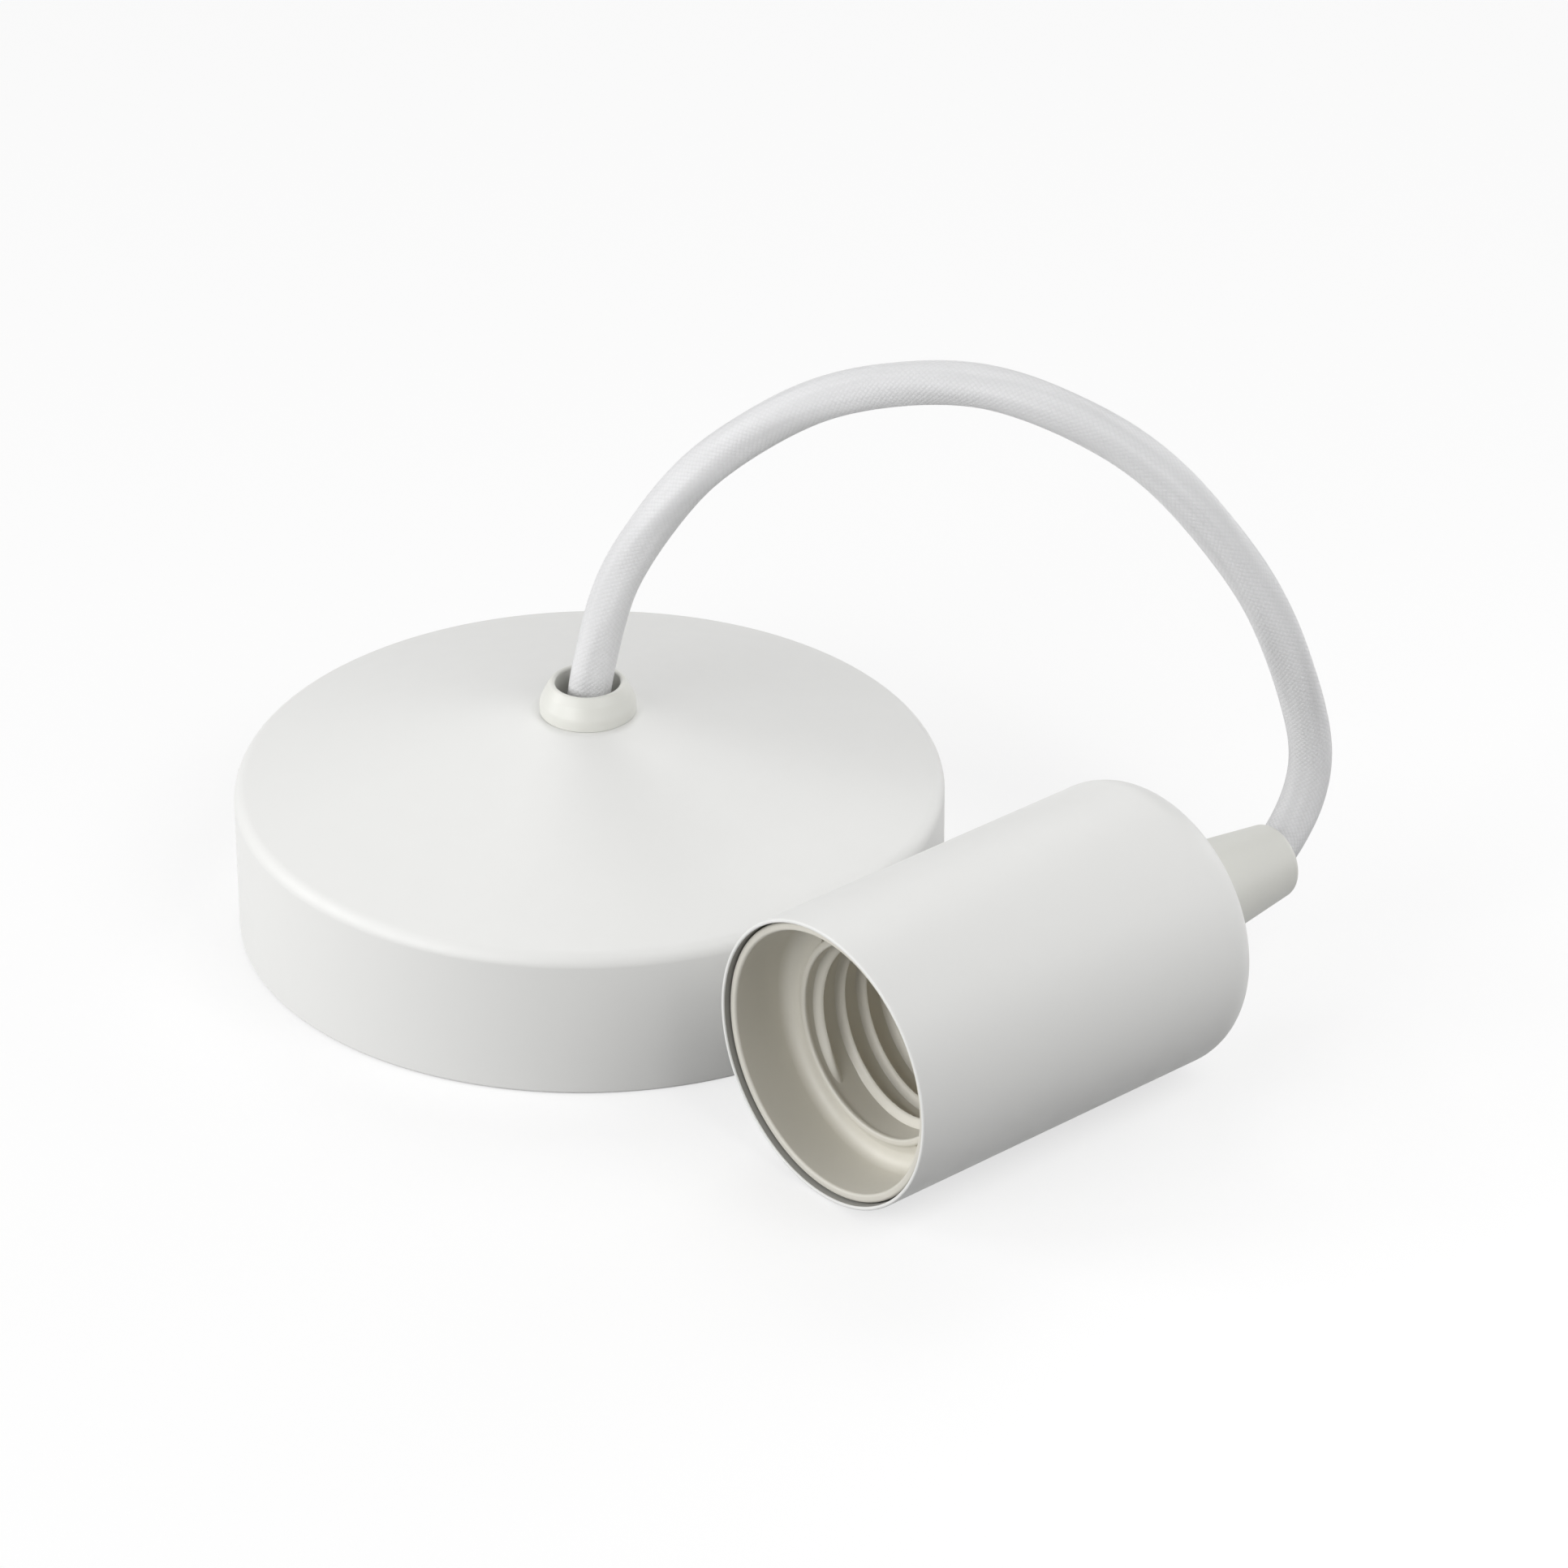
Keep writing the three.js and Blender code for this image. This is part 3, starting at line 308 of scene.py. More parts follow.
def drawn_brass():
    """Brass strip and rod, stamped and turned: warm, a little dulled by handling."""
    material, tree = new_finish("drawn_brass")
    film = grain(tree, 2.5, 4.0)
    shader = add_node(tree, "ShaderNodeBsdfPrincipled", inputs={
        "Base Color": shade_of(tree, film, linear_colour("#d2ae62"), 0.22),
        "Metallic": 1.0,
        "Roughness": spread(tree, film, 0.24, 0.38),
        "Normal": relief(tree, grain(tree, 0.3), 0.003)})
    close_finish(tree, shader)
    return material


def insulation(name, colour):
    """Extruded PVC on one conductor: smooth, with a faint lengthwise draw."""
    material, tree = new_finish(name)
    draw = grain(tree, 1.2, 2.0)
    shader = add_node(tree, "ShaderNodeBsdfPrincipled", inputs={
        "Base Color": shade_of(tree, draw, colour, 0.08),
        "Roughness": spread(tree, draw, 0.34, 0.42),
        "IOR": 1.53, "Normal": relief(tree, draw, 0.006)})
    close_finish(tree, shader)
    return material


def earth_insulation(colours):
    """Extruded PVC in green with a yellow band, as on every earth conductor."""
    material, tree = new_finish("earth_insulation")
    where = add_node(tree, "ShaderNodeTexCoord").outputs["Object"]
    bands = add_node(tree, "ShaderNodeTexWave", {"bands_direction": "DIAGONAL"}, {
        "Vector": where, "Scale": per_metre(9.0), "Distortion": 0.0}).outputs["Fac"]
    split = spread(tree, bands, 0.0, 1.0, 0.55, 0.62)
    colour = add_node(tree, "ShaderNodeMix", {"data_type": "RGBA"}, {
        0: split, 6: (*colours.earth, 1.0), 7: (*colours.earth_band, 1.0)}).outputs[2]
    shader = add_node(tree, "ShaderNodeBsdfPrincipled", inputs={
        "Base Color": colour, "Roughness": spread(tree, grain(tree, 1.2), 0.34, 0.42),
        "IOR": 1.53, "Normal": relief(tree, grain(tree, 1.2), 0.006)})
    close_finish(tree, shader)
    return material


def maths(tree, operation, first, second=0.0):
    """One sum on two values or sockets."""
    return add_node(tree, "ShaderNodeMath", {"operation": operation}, {
        0: first, 1: second}).outputs[0]


YARNS_PER_STRAND = 4
# Painted sheen and shade: how many lengthwise streaks go round the cord, and how long each one is.
SHEEN_STREAKS_AROUND = 9.0
SHEEN_STREAK_LENGTH = 25 * MM


def braided_textile(colours, sizes, length):
    """Bright rayon braided over the cord: flat strands that cross over and under each other.

    A strand is about 0.8 mm wide. The colour is darker where the strands dip, which is painted shade, and
    slow lengthwise streaks paint lighter and darker bands along the cord, which are painted sheen and
    shade.
    """
    material, tree = new_finish("braided_rayon")
    unrolled = add_node(tree, "ShaderNodeUVMap", {"uv_map": "UVMap"}).outputs[0]
    place = add_node(tree, "ShaderNodeSeparateXYZ", inputs={0: unrolled})
    around = maths(tree, "MULTIPLY", place.outputs["X"], sizes.strands)
    turns = length / (2 * math.pi * sizes.radius)
    along = maths(tree, "MULTIPLY", place.outputs["Y"], sizes.strands * turns)
    ways = [maths(tree, way, around, along) for way in ("ADD", "SUBTRACT")]
    steps = [maths(tree, "FLOOR", way) for way in ways]
    parity = maths(tree, "PINGPONG", maths(tree, "ADD", *steps), 1.0)
    humps = [maths(tree, "SINE", maths(tree, "MULTIPLY", maths(tree, "FRACT", way), math.pi))
             for way in ways]
    yarns = [maths(tree, "MULTIPLY_ADD", maths(tree, "SINE", maths(
        tree, "MULTIPLY", way, 2 * math.pi * YARNS_PER_STRAND)), 0.12) for way in ways]
    over, under = [maths(tree, "ADD", hump, yarn) for hump, yarn in zip(humps, yarns)]
    top = add_node(tree, "ShaderNodeMix", {"data_type": "FLOAT"}, {
        0: parity, 2: over, 3: under}).outputs[0]
    cell = maths(tree, "MULTIPLY", humps[0], humps[1])
    height = maths(tree, "MULTIPLY", top, maths(tree, "POWER", cell, 0.35))
    fuzz = grain(tree, 0.45, 3.0)
    raised = maths(tree, "ADD", height, maths(tree, "MULTIPLY", fuzz, 0.5))
    # Painted shade: the colour darkens where the strands dip between their crossings.
    weave_shade = spread(tree, height, 0.6, 1.0, 0.1, 0.9)
    # Painted sheen and shade: lighter and darker bands that run along the cord.
    stretched = add_node(tree, "ShaderNodeMapping", inputs={
        "Vector": unrolled,
        "Scale": (SHEEN_STREAKS_AROUND, length / SHEEN_STREAK_LENGTH, 1.0)}).outputs["Vector"]
    sheen_streaks = spread(tree, add_node(tree, "ShaderNodeTexNoise", inputs={
        "Vector": stretched, "Scale": 1.0, "Detail": 2.0}).outputs["Fac"], 0.3, 1.0)
    shader = add_node(tree, "ShaderNodeBsdfPrincipled", inputs={
        "Base Color": shade_of(
            tree, maths(tree, "MULTIPLY", weave_shade, sheen_streaks), colours.textile, 0.16),
        "Roughness": 0.62, "IOR": 1.5,
        "Sheen Weight": 0.35, "Sheen Roughness": 0.4,
        "Normal": relief(tree, raised, 0.03)})
    close_finish(tree, shader)
    return material


# Shapes

MERGE_GAP = 1e-7
SHARP_DEGREES = 40.0


def keep_piece(piece, finish, nodes):
    """Gives a piece its finish and its body, and lets it stand for CAD nodes."""
    piece.data.materials.clear()
    piece.data.materials.append(finish)
    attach(piece, BODY)
    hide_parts(*nodes)
    return piece


def mesh_piece(name, bm, sharp_degrees=SHARP_DEGREES):
    """Turns a bmesh into a smooth-shaded object that stands at the origin."""
    mesh = bpy.data.meshes.new(name)
    bm.to_mesh(mesh)
    bm.free()
    mesh.shade_smooth()
    mesh.set_sharp_from_angle(angle=math.radians(sharp_degrees))
    piece = bpy.data.objects.new(name, mesh)
    bpy.context.scene.collection.objects.link(piece)
    return piece


def level_normals(piece):
    """Keeps flat faces flat beside their rounded edges."""
    modifier = piece.modifiers.new("level_normals", "WEIGHTED_NORMAL")
    modifier.keep_sharp = True
    modifier.weight = 90


def corner_rounds(bm, corners, segments):
    """Rounds the corners of a wire section; each corner is a vertex and its radius."""
    for vertex, radius in corners:
        first, second = [edge.other_vert(vertex).co - vertex.co for edge in vertex.link_edges]
        turn = math.pi - first.angle(second)
        bmesh.ops.bevel(
            bm, geom=[vertex], offset=radius * math.tan(turn / 2), segments=segments,
            profile=0.5, affect="VERTICES", material=-1)


def section_wire(bm, section, segments):
    """A closed wire in the XZ plane from [radius, height, rounding] points in metres."""
    points = [bm.verts.new((point[0], 0.0, point[1])) for point in section]
    for first, second in zip(points, points[1:] + points[:1]):
        bm.edges.new((first, second))
    rounded = [(vertex, point[2]) for vertex, point in zip(points, section) if len(point) > 2]
    corner_rounds(bm, rounded, segments)


def turned(name, section, place, steps, segments):
    """A closed section in millimetres, spun about its axis and put in its place."""
    bm = bmesh.new()
    section_wire(bm, [[value * MM for value in point] for point in section], segments)
    bmesh.ops.spin(
        bm, geom=bm.verts[:] + bm.edges[:], cent=(0, 0, 0), axis=(0, 0, 1), dvec=(0, 0, 0),
        angle=2 * math.pi, steps=steps, use_merge=True, use_duplicate=False)
    bmesh.ops.remove_doubles(bm, verts=bm.verts[:], dist=MERGE_GAP)
    bmesh.ops.recalc_face_normals(bm, faces=bm.faces[:])
    bmesh.ops.transform(bm, matrix=place, verts=bm.verts[:])
    return mesh_piece(name, bm)


def softened_copy(node, name, edge_mm):
    """A copy of a CAD node with its flat faces made whole and its sharp edges broken."""
    bm = bmesh.new()
    bm.from_mesh(frame["nodes"][node].data)
    bmesh.ops.remove_doubles(bm, verts=bm.verts[:], dist=2e-6)
    bmesh.ops.dissolve_limit(
        bm, angle_limit=math.radians(1.0), verts=bm.verts[:], edges=bm.edges[:])
    sharp = [edge for edge in bm.edges
             if len(edge.link_faces) == 2 and edge.calc_face_angle(0.0) > math.radians(35)]
    bmesh.ops.bevel(
        bm, geom=sharp, offset=edge_mm * MM, segments=2, profile=0.5,
        affect="EDGES", clamp_overlap=True, material=-1)
    return mesh_piece(name, bm, 32.0)


# The cord


# Control points in millimetres from the middle of the rose's foot
CORD_POINTS = (
    (0, 0, 7.3), (0, 0, 13), (0, 0, 20), (0, 0, 27), (0, 0, 33), (1.1, 0.9, 41.1), (4.1, 3.0, 53.4),
    (10.5, 7.9, 65.8), (19.6, 14.4, 76.6), (31.5, 23.6, 83.7), (43.9, 32.5, 84.9), (54.9, 40.9, 80.2),
    (63.2, 47.6, 72.1), (68.2, 53.1, 62.2), (70.4, 57.6, 52.6), (70.9, 61.3, 43.9),
    (70.3, 64.1, 36.4), (71.2, 64.8, 30.2), (72.1, 62.7, 24.6), (73.0, 58.5, 20.5),
    (74.4, 52.9, 18.7), (74.6, 46.4, 19.3), (74.5, 40, 19.4), (74.5, 34, 19.4), (74.5, 28, 19.4),
    (74.5, 22.0, 19.4),
)
CORD_SIDES = 64
CORD_RING_GAP = 0.8 * MM
ROUTE_SAMPLES = 4000
CORES = 3


def smooth_route(points, samples):
    """Points of the clamped cubic curve that the control points pull into shape."""
    degree = 3
    spans = len(points) - degree
    knots = [0.0] * degree + list(range(spans + 1)) + [spans] * degree
    route = []
    for i in range(samples + 1):
        u = spans * i / samples
        k = min(int(u), spans - 1) + degree
        level = [points[j + k - degree].copy() for j in range(degree + 1)]
        for r in range(1, degree + 1):
            for j in range(degree, r - 1, -1):
                low = knots[j + k - degree]
                high = knots[j + 1 + k - r]
                share = (u - low) / (high - low)
                level[j] = level[j - 1].lerp(level[j], share)
        route.append(level[degree])
    return route


def even_route(route, gap):
    """The same line with its points evenly spaced, and its length."""
    lengths = [0.0]
    for a, b in zip(route, route[1:]):
        lengths.append(lengths[-1] + (b - a).length)
    total = lengths[-1]
    count = round(total / gap)
    even = []
    k = 0
    for i in range(count + 1):
        target = total * i / count
        while k < len(lengths) - 2 and lengths[k + 1] < target:
            k += 1
        share = (target - lengths[k]) / (lengths[k + 1] - lengths[k])
        even.append(route[k].lerp(route[k + 1], share))
    return even, total


def carried_frames(route):
    """A pair of sideways directions at each point, carried along without twist."""
    side = Vector((1, 0, 0))
    last = (route[1] - route[0]).normalized()
    frames = []
    for i in range(len(route)):
        ahead = (route[min(i + 1, len(route) - 1)] - route[max(i - 1, 0)]).normalized()
        side = last.rotation_difference(ahead) @ side
        side = (side - ahead * side.dot(ahead)).normalized()
        frames.append((side, ahead.cross(side)))
        last = ahead
    return frames


class PENDANT_OT_cord(bpy.types.Operator):
    """Make the braided cord from the rose to the lamp holder"""

    bl_idname = "pendant.cord"
    bl_label = "Braided Cord"

    def execute(self, context):
        sizes = context.scene.pendant_cord
        control = [ROSE_FOOT + Vector(point) * MM for point in CORD_POINTS]
        route, length = even_route(smooth_route(control, ROUTE_SAMPLES), CORD_RING_GAP)
        frames = carried_frames(route)
        rings = len(route) - 1
        bm = bmesh.new()
        bm.loops.layers.uv.new("UVMap")
        bmesh.ops.create_grid(bm, x_segments=CORD_SIDES, y_segments=rings, size=0.5, calc_uvs=True)
        for vertex in bm.verts:
            i = round((vertex.co.y + 0.5) * rings)
            side, across = frames[i]
            angle = 2 * math.pi * (vertex.co.x + 0.5)
            twist = 2 * math.pi * length * i / rings / sizes.lay
            swell = sizes.swell * (math.cos(CORES * (angle - twist)) - 1) / 2
            out = side * math.cos(angle) + across * math.sin(angle)
            vertex.co = route[i] + out * (sizes.radius + swell)
        bmesh.ops.remove_doubles(bm, verts=bm.verts[:], dist=MERGE_GAP)
        ends = [edge for edge in bm.edges if edge.is_boundary]
        bmesh.ops.holes_fill(bm, edges=ends, sides=0)
        bmesh.ops.recalc_face_normals(bm, faces=bm.faces[:])
        piece = mesh_piece("braided_cord", bm, 60.0)
        finish = braided_textile(context.scene.pendant_finishes, sizes, length)
        keep_piece(piece, finish, ["pendant_cord"])
        return {"FINISHED"}


# The camera

# Angles are in degrees. They and the lens were fitted to the rims and outlines that the photograph shows.
CAMERA_TARGET = Vector((-16.45, 24.53, 11.57)) * MM
CAMERA_DISTANCE = 0.9505
CAMERA_BEARING = 49.68
CAMERA_HEIGHT = 29.57
CAMERA_ROLL = -0.25
CAMERA_LENS_MM = 160.46
CAMERA_SENSOR_MM = 36.0
CAMERA_NEAR = 0.05


class PENDANT_OT_camera(bpy.types.Operator):
    """Set the camera to the photograph's viewing angle"""

    bl_idname = "pendant.camera"
    bl_label = "Camera"

    def execute(self, context):
        turn = Matrix.Rotation(math.radians(CAMERA_BEARING), 4, "Z")
        tilt = Matrix.Rotation(math.radians(90 - CAMERA_HEIGHT), 4, "X")
        roll = Matrix.Rotation(math.radians(CAMERA_ROLL), 4, "Z")
        back = Matrix.Translation((0, 0, CAMERA_DISTANCE))
        data = bpy.data.cameras.new("photo_camera")
        data.sensor_width = CAMERA_SENSOR_MM
        data.lens = CAMERA_LENS_MM
        data.clip_start = CAMERA_NEAR
        camera = bpy.data.objects.new("photo_camera", data)
        context.scene.collection.objects.link(camera)
        facing = turn @ tilt @ roll
        camera.matrix_world = Matrix.Translation(CAMERA_TARGET) @ facing @ back
        context.scene.camera = camera
        return {"FINISHED"}


# Ceiling rose

# The sizes that only the sections below use are in millimetres, as the sections are.
ROSE_HOLE = 6.05
COLLAR_SHANK = 5.75
COLLAR_GAP = 0.03
COLLAR_THREAD = 5.0
COLLAR_THREAD_DEPTH = 4.4


class PENDANT_OT_rose_cover(bpy.types.Operator):
    """Make the drawn and painted cover of the ceiling rose"""

    bl_idname = "pendant.rose_cover"
    bl_label = "Rose Cover"

    def execute(self, context):
        s = context.scene.pendant_rose
        radius, side, top, land = [
            value / MM for value in (s.radius, s.side_height, s.top_height, s.land_radius)]
        wall, rounding = s.wall / MM, s.edge_round / MM
        slope = math.atan2(top - side, radius - land)
        drop = wall / math.cos(slope)
        inner = radius - wall
        section = [
            (inner, 0.0, 0.35), (radius, 0.0, 0.45), (radius, side, rounding),
            (land, top, 3.0), (ROSE_HOLE, top, 0.2), (ROSE_HOLE, top - drop), (land, top - drop),
            (inner, side + wall * math.tan(slope) - drop, rounding * 0.7),
        ]
        piece = turned("spun_rose_cover", section, STAND, steps=192, segments=10)
        level_normals(piece)
        finish = powder_coated_steel(context.scene.pendant_finishes)
        keep_piece(piece, finish, ["rose_cover"])
        return {"FINISHED"}


class PENDANT_OT_collar(bpy.types.Operator):
    """Make the collar that the cord comes out of"""

    bl_idname = "pendant.collar"
    bl_label = "Collar"

    def execute(self, context):
        s = context.scene.pendant_rose
        top = (s.top_height + s.collar_height) / MM
        seat = s.top_height / MM + COLLAR_GAP
        radius, bore = s.collar_radius / MM, s.collar_bore / MM
        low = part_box("rose_collar")[0][2] / MM
        thread_end = low + COLLAR_THREAD_DEPTH
        section = [
            (COLLAR_THREAD, low), (COLLAR_SHANK, low, 0.2), (COLLAR_SHANK, seat),
            (radius, seat, 0.12), (radius, top - 2.9, 1.8), (radius - 0.75, top - 1.2, 1.2),
            (bore + 0.6, top, 0.35), (bore, top - 0.1, 0.3), (bore, thread_end),
            (COLLAR_THREAD, thread_end),
        ]
        piece = turned("turned_collar", section, STAND, steps=96, segments=6)
        level_normals(piece)
        finish = moulded_white(context.scene.pendant_finishes)
        keep_piece(piece, finish, ["rose_collar"])
        return {"FINISHED"}


# Lamp holder

COVER_REAR_HOLE = 5.15
# Inside faces this far past the mouth get the darker grey of painted shade.
SHADED_INSIDE_FROM = 0.3
NECK_BORE = 3.55
NECK_MOUTH = 4.3
NECK_SHANK = 4.85
NECK_SHANK_LENGTH = 8.7
NECK_GAP = 0.1


class PENDANT_OT_holder_cover(bpy.types.Operator):
    """Make the thin drawn cover of the lamp holder"""

    bl_idname = "pendant.holder_cover"
    bl_label = "Holder Cover"

    def execute(self, context):
        s = context.scene.pendant_holder
        radius, length, wall = s.radius / MM, s.length / MM, s.wall / MM
        shoulder = s.shoulder_round / MM
        section = [
            (radius - wall, 0.0, 0.2), (radius, 0.0, 0.22), (radius, length, shoulder),
            (COVER_REAR_HOLE, length), (COVER_REAR_HOLE, length - wall),
            (radius - wall, length - wall, shoulder - wall),
        ]
        piece = turned("drawn_holder_cover", section, LIE, steps=192, segments=14)
        level_normals(piece)
        colours = context.scene.pendant_finishes
        keep_piece(piece, powder_coated_steel(colours), ["holder_cover"])
        # The inside faces get a darker grey: painted shade for the gap between the cover and the sleeve.
        piece.data.materials.append(shaded_inside_steel(colours))
        to_local = LIE.inverted()
        turn = to_local.to_3x3()
        for face in piece.data.polygons:
            centre, normal = to_local @ face.center, turn @ face.normal
            outward = normal.xy.dot(centre.xy.normalized()) + normal.z
            if outward < -0.5 and centre.z > SHADED_INSIDE_FROM * MM:
                face.material_index = 1
        return {"FINISHED"}


class PENDANT_OT_neck(bpy.types.Operator):
    """Make the tapered neck that holds the cord"""

    bl_idname = "pendant.neck"
    bl_label = "Neck"

    def execute(self, context):
        s = context.scene.pendant_holder
        rear = s.length / MM
        end = rear + s.neck_length / MM
        base, tip = s.neck_base / MM, s.neck_end / MM
        shank, seat = rear - NECK_SHANK_LENGTH, rear + NECK_GAP
        section = [
            (NECK_BORE, shank), (NECK_SHANK, shank, 0.3), (NECK_SHANK, seat), (base, seat, 0.25),
            (tip + 0.05, end - 0.35, 1.0), (tip - 0.6, end, 0.3), (NECK_MOUTH, end, 0.2),
            (NECK_BORE, end - 10.0, 4.0),
        ]
        piece = turned("tapered_neck", section, LIE, steps=96, segments=8)
        level_normals(piece)
        finish = moulded_white(context.scene.pendant_finishes)
        keep_piece(piece, finish, ["holder_neck"])
        return {"FINISHED"}


# Angles are in degrees about the holder's axis. The rib rises out of the bore over THREAD_FADE.
THREAD_START_DEPTH = 10.4 * MM
THREAD_START_ANGLE = 125.0
THREAD_FADE = 30.0
THREAD_TURNS = 5.15
THREAD_STEPS = 72
RIB_BURIED = 0.6 * MM
RIB_FOOT = 0.15 * MM
RIB_HALF_WIDTH = 0.31
RIB_PEAK = 1.2
RIB_POINTS = 14


def thread_rib(s):
    """The rounded rib of the right-hand E27 thread as one helix that rises out of the bore."""
    buried = s.thread_root + RIB_BURIED
    foot = s.thread_root + RIB_FOOT
    half = s.thread_pitch * RIB_HALF_WIDTH
    points = [(buried, half), (buried, -half)]
    for i in range(RIB_POINTS + 1):
        share = i / RIB_POINTS
        lift = (0.5 - 0.5 * math.cos(2 * math.pi * share)) ** RIB_PEAK
        points.append((foot - (foot - s.thread_crest) * lift, half * (2 * share - 1)))
    bm = bmesh.new()
    wire = [bm.verts.new((r, 0.0, h)) for r, h in points]
    face = bm.faces.new(wire)
    bmesh.ops.spin(
        bm, geom=[face], cent=(0, 0, 0), axis=(0, 0, 1),
        dvec=(0, 0, s.thread_pitch / THREAD_STEPS), angle=2 * math.pi * THREAD_TURNS,
        steps=round(THREAD_STEPS * THREAD_TURNS), use_duplicate=False)
    for vertex in bm.verts:
        angle = math.degrees(math.atan2(vertex.co.y, vertex.co.x)) % 360
        if angle < THREAD_FADE and vertex.co.z < s.thread_pitch / 2 + half:
            radius = vertex.co.xy.length
            faded = foot - (foot - radius) * math.sin(math.radians(90 * angle / THREAD_FADE))
            if radius < foot:
                vertex.co.xy *= faded / radius
    bmesh.ops.recalc_face_normals(bm, faces=bm.faces[:])
    start = Matrix.Translation((0, 0, THREAD_START_DEPTH)) @ Matrix.Rotation(
        math.radians(THREAD_START_ANGLE), 4, "Z")
    bmesh.ops.transform(bm, matrix=start, verts=bm.verts[:])
    return bm


SHOULDER_LIP_DEPTH = 8.5
SHOULDER_FOOT_DEPTH = 9.5
SHOULDER_THICKNESS = 2.0
THREAD_TUBE_WALL = 1.8
LIP_BORE = 13.1
LIP_RADIUS = 13.9
GROOVE_INNER = 14.3
GROOVE_OUTER = 15.3
NOTCH_ANGLES = (230.0, 50.0)
NOTCH_MIDDLE = Vector((15.5, 0.0, 8.4)) * MM
NOTCH_SIZE = Vector((2.8, 2.9, 4.2)) * MM


def cut_notches(body):
    """The body's mesh with the two latch notches cut into its shoulder."""
    bm = bmesh.new()
    for degrees in NOTCH_ANGLES:
        place = Matrix.Rotation(math.radians(degrees), 4, "Z") @ Matrix.Translation(NOTCH_MIDDLE)
        bmesh.ops.create_cube(bm, size=1.0, matrix=place @ Matrix.Diagonal((*NOTCH_SIZE, 1.0)))
    cutter = mesh_piece("notch_cutter", bm)
    modifier = body.modifiers.new("notches", "BOOLEAN")
    modifier.operation = "DIFFERENCE"
    modifier.solver = "EXACT"
    modifier.object = cutter
    depsgraph = bpy.context.evaluated_depsgraph_get()
    mesh = bpy.data.meshes.new_from_object(body.evaluated_get(depsgraph))
    bpy.data.objects.remove(body)
    bpy.data.objects.remove(cutter)
    return mesh


class PENDANT_OT_socket(bpy.types.Operator):
    """Make the lamp socket: sleeve, shoulder and E27 thread"""

    bl_idname = "pendant.socket"
    bl_label = "Lamp Socket"

    def execute(self, context):
        s = context.scene.pendant_holder
        outer = s.sleeve_radius / MM
        bore = outer - s.sleeve_wall / MM
        root = s.thread_root / MM
        tube = root + THREAD_TUBE_WALL
        lip, foot = SHOULDER_LIP_DEPTH, SHOULDER_FOOT_DEPTH
        back = foot + SHOULDER_THICKNESS
        rim = (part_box("lamp_socket")[0][1] - HOLDER_MOUTH.y) / MM
        end = (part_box("lamp_socket")[1][1] - HOLDER_MOUTH.y) / MM
        section = [
            (bore, rim, 0.4), (outer, rim, 0.4), (outer, back, 0.3), (tube, back),
            (tube, end), (root, end), (root, foot), (LIP_BORE, lip + 0.5, 0.2), (LIP_BORE, lip, 0.3),
            (LIP_RADIUS, lip, 0.4), (GROOVE_INNER, foot - 0.5, 0.3), (GROOVE_OUTER, foot, 0.8),
            (bore, foot, 1.7),
        ]
        body = turned("threaded_socket", section, Matrix.Identity(4), steps=160, segments=6)
        bm = thread_rib(s)
        bm.from_mesh(cut_notches(body))
        bmesh.ops.transform(bm, matrix=LIE, verts=bm.verts[:])
        piece = mesh_piece("threaded_lamp_socket", bm)
        level_normals(piece)
        finish = moulded_socket(context.scene.pendant_finishes)
        keep_piece(piece, finish, ["lamp_socket"])
        return {"FINISHED"}


# Pieces inside the rose and the holder


# Node, then the name of its softened copy, the width of its broken edges in mm, and its finish
SOFT_EDGES = {
    "mounting_bracket": ("bent_bracket", 0.3, "zinc_steel"),
    "tube_nut_upper": ("upper_tube_nut", 0.35, "zinc_steel"),
    "tube_nut_lower": ("lower_tube_nut", 0.35, "zinc_steel"),
    "terminal_block": ("moulded_terminal_block", 0.35, "clear_nylon"),
    "rose_clamp_bar_front": ("rose_clamp_front", 0.3, "clear_nylon"),
    "rose_clamp_bar_back": ("rose_clamp_back", 0.3, "clear_nylon"),
}


class PENDANT_OT_fittings(bpy.types.Operator):
    """Give the fittings inside the rose and the holder their broken edges and finishes"""

    bl_idname = "pendant.fittings"
    bl_label = "Inner Fittings"

    def execute(self, context):
        colours = context.scene.pendant_finishes
        finishes = {
            "zinc_steel": zinc_plated_steel(),
            "brass": drawn_brass(),
            "clear_nylon": natural_nylon(),
            "carrier_plastic": moulded_socket(colours),
            "live_insulation": insulation("live_insulation", colours.live),
            "neutral_insulation": insulation("neutral_insulation", colours.neutral),
            "earth_insulation": earth_insulation(colours),
        }
        for node, (name, edge, slot) in SOFT_EDGES.items():
            piece = softened_copy(node, name, edge)
            keep_piece(piece, finishes[slot], [node])
        slots = {part["node"]: part["material_slot"] for part in frame["record"]["subparts"]}
        for node, piece in frame["nodes"].items():
            if node not in SOFT_EDGES and slots[node] in finishes:
                piece.data.materials.clear()
                piece.data.materials.append(finishes[slots[node]])
        return {"FINISHED"}


# Stage


FLOOR_HALF_WIDTH = 6.0
FLOOR_DROP = 0.1 * MM
FLOOR_BOUNCE = 0.32
FLOOR_SHADE = 0.336
FLOOR_GLOW = 0.668
AMBIENT_LIGHT = 0.173

# Soft boxes round the set stand a metre off; two small ones stand close to the cord's arch.
ROUND_THE_SET = {
    "aim": Vector((0.0, 0.0, 0.03)), "centre": Vector((0.0, 0.0, 0.0)),
    "distance": 1.0, "size": 0.55}
BY_THE_CORD = {
    "aim": Vector((0.047, 0.057, 0.055)), "centre": Vector((0.047, 0.057, 0.055)),
    "distance": 0.25, "size": 0.16}
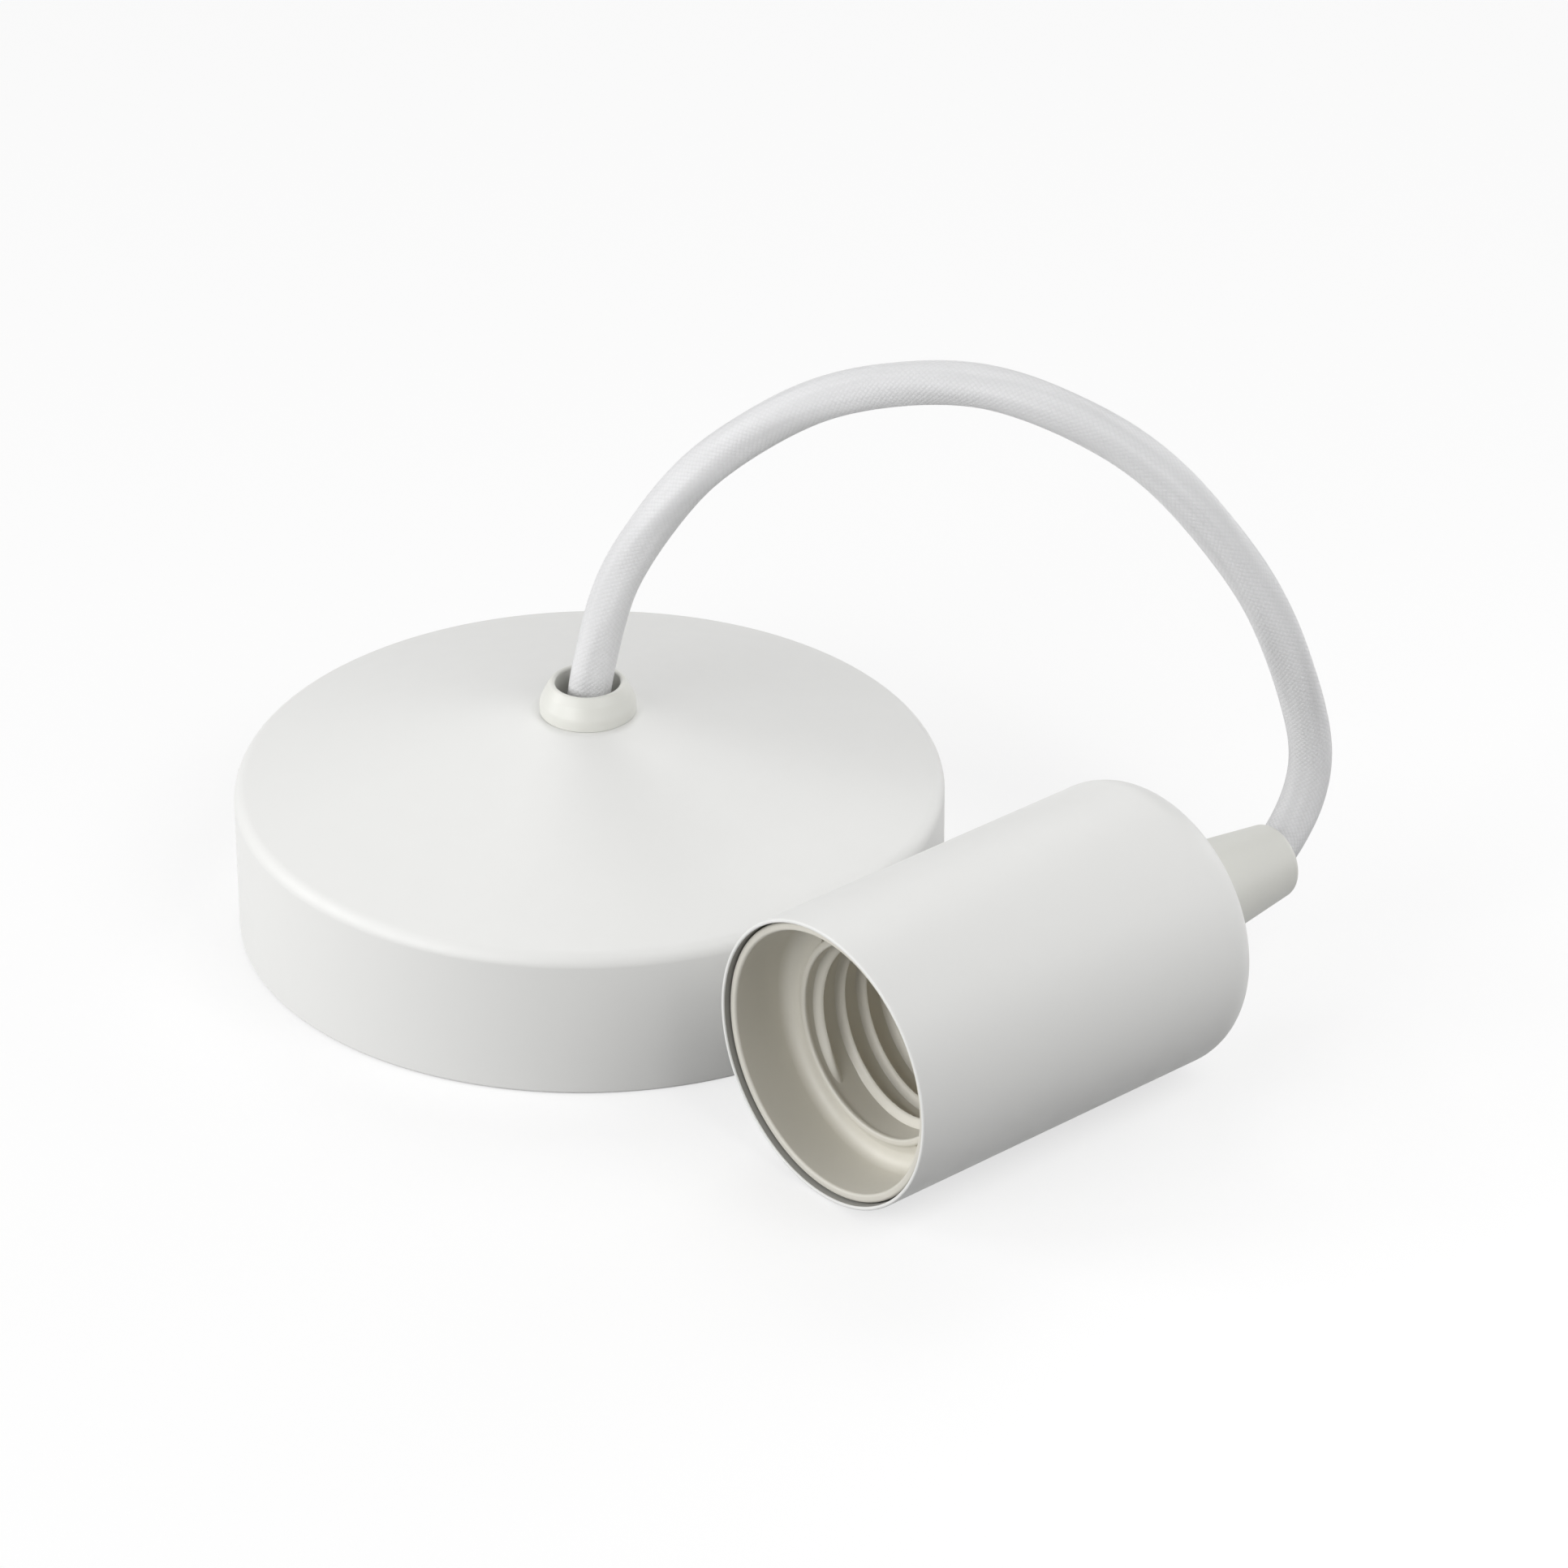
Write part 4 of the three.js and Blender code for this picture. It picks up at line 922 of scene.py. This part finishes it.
# Bearing in degrees from the camera's left towards the camera, height in degrees, power in watts
SOFT_LIGHTS = {
    "left_light": (0, 20, 4.3, ROUND_THE_SET),
    "front_left_light": (45, 20, 4.87, ROUND_THE_SET),
    "front_right_light": (135, 50, 2.73, ROUND_THE_SET),
    "back_right_light": (225, 20, 1.7, ROUND_THE_SET),
    "back_light": (270, 50, 2.2, ROUND_THE_SET),
    "high_cord_light": (135, 40, 0.125, BY_THE_CORD),
    "low_cord_light": (180, 10, 0.101, BY_THE_CORD),
}
# Level directions from the set to the camera's left and to the camera
TO_THE_LEFT = Vector((-0.647, -0.7625, 0.0))
TO_THE_CAMERA = Vector((0.7625, -0.647, 0.0))


def soft_light(name, bearing, height, energy, stand):
    """A square soft box that faces the set and is not seen itself."""
    data = bpy.data.lights.new(name, "AREA")
    data.shape = "SQUARE"
    data.size = stand["size"]
    data.energy = energy
    light = bpy.data.objects.new(name, data)
    bpy.context.scene.collection.objects.link(light)
    turn, rise = math.radians(bearing), math.radians(height)
    flat = TO_THE_LEFT * math.cos(turn) + TO_THE_CAMERA * math.sin(turn)
    way = flat * math.cos(rise) + Vector((0, 0, math.sin(rise)))
    light.location = stand["centre"] + way * stand["distance"]
    light.rotation_euler = (stand["aim"] - light.location).to_track_quat("-Z", "Y").to_euler()
    light.visible_camera = False
    return light


def seen_directly(tree):
    """1 where the camera sees a surface, also in a reflection or through glass."""
    path = add_node(tree, "ShaderNodeLightPath")
    seen = maths(tree, "MAXIMUM", path.outputs["Is Camera Ray"], path.outputs["Is Glossy Ray"])
    return maths(tree, "MAXIMUM", seen, path.outputs["Is Transmission Ray"])


class PENDANT_OT_stage(bpy.types.Operator):
    """Set up the pale floor, the soft lights and the world"""

    bl_idname = "pendant.stage"
    bl_label = "Stage"

    def execute(self, context):
        bm = bmesh.new()
        bmesh.ops.create_grid(bm, x_segments=1, y_segments=1, size=FLOOR_HALF_WIDTH)
        bmesh.ops.translate(bm, vec=(0, 0, -FLOOR_DROP), verts=bm.verts[:])
        floor = mesh_piece("floor", bm)
        material, tree = new_finish("pale_floor")
        bounce, shadow = [
            add_node(tree, "ShaderNodeBsdfDiffuse", inputs={"Color": (grey, grey, grey, 1)})
            for grey in (FLOOR_BOUNCE, FLOOR_SHADE)]
        glow = add_node(tree, "ShaderNodeEmission", inputs={
            "Color": (1, 1, 1, 1), "Strength": FLOOR_GLOW})
        shown = add_node(tree, "ShaderNodeAddShader", inputs={
            0: shadow.outputs[0], 1: glow.outputs[0]})
        either = add_node(tree, "ShaderNodeMixShader", inputs={
            0: seen_directly(tree), 1: bounce.outputs[0], 2: shown.outputs[0]})
        close_finish(tree, either)
        floor.data.materials.append(material)
        for name, (bearing, height, energy, stand) in SOFT_LIGHTS.items():
            soft_light(name, bearing, height, energy, stand)
        world = bpy.data.worlds.new("studio")
        context.scene.world = world
        world.use_nodes = True
        tree = world.node_tree
        tree.nodes.clear()
        ambient, white = [
            add_node(tree, "ShaderNodeBackground", inputs={
                "Color": (1, 1, 1, 1), "Strength": strength})
            for strength in (AMBIENT_LIGHT, 1.0)]
        either = add_node(tree, "ShaderNodeMixShader", inputs={
            0: seen_directly(tree), 1: ambient.outputs[0], 2: white.outputs[0]})
        add_node(tree, "ShaderNodeOutputWorld", inputs={"Surface": either.outputs[0]})
        context.scene.view_settings.view_transform = "Standard"
        return {"FINISHED"}


class PENDANT_PT_panel(bpy.types.Panel):
    """Lists the operators in the sidebar"""

    bl_label = "Pendant Cord Set"
    bl_space_type = "VIEW_3D"
    bl_region_type = "UI"
    bl_category = "Pendant"

    def draw(self, context):
        for operator in OPERATORS:
            self.layout.operator(operator.bl_idname)


OPERATORS = (
    PENDANT_OT_camera, PENDANT_OT_cord, PENDANT_OT_rose_cover, PENDANT_OT_collar,
    PENDANT_OT_holder_cover, PENDANT_OT_neck, PENDANT_OT_socket, PENDANT_OT_fittings,
    PENDANT_OT_stage,
)
GROUPS = {
    "pendant_rose": RoseSizes,
    "pendant_holder": HolderSizes,
    "pendant_cord": CordSizes,
    "pendant_finishes": Finishes,
}


def register():
    """Registers the sizes, the operators and the panel."""
    for name, group in GROUPS.items():
        bpy.utils.register_class(group)
        setattr(bpy.types.Scene, name, PointerProperty(type=group))
    for item in (*OPERATORS, PENDANT_PT_panel):
        bpy.utils.register_class(item)


def unregister():
    """Removes what register added."""
    for item in reversed((*OPERATORS, PENDANT_PT_panel)):
        bpy.utils.unregister_class(item)
    for name, group in GROUPS.items():
        delattr(bpy.types.Scene, name)
        bpy.utils.unregister_class(group)


def main():
    """Builds the whole set."""
    register()
    for operator in OPERATORS:
        group, action = operator.bl_idname.split(".")
        getattr(getattr(bpy.ops, group), action)()


if __name__ == "__main__":
    main()
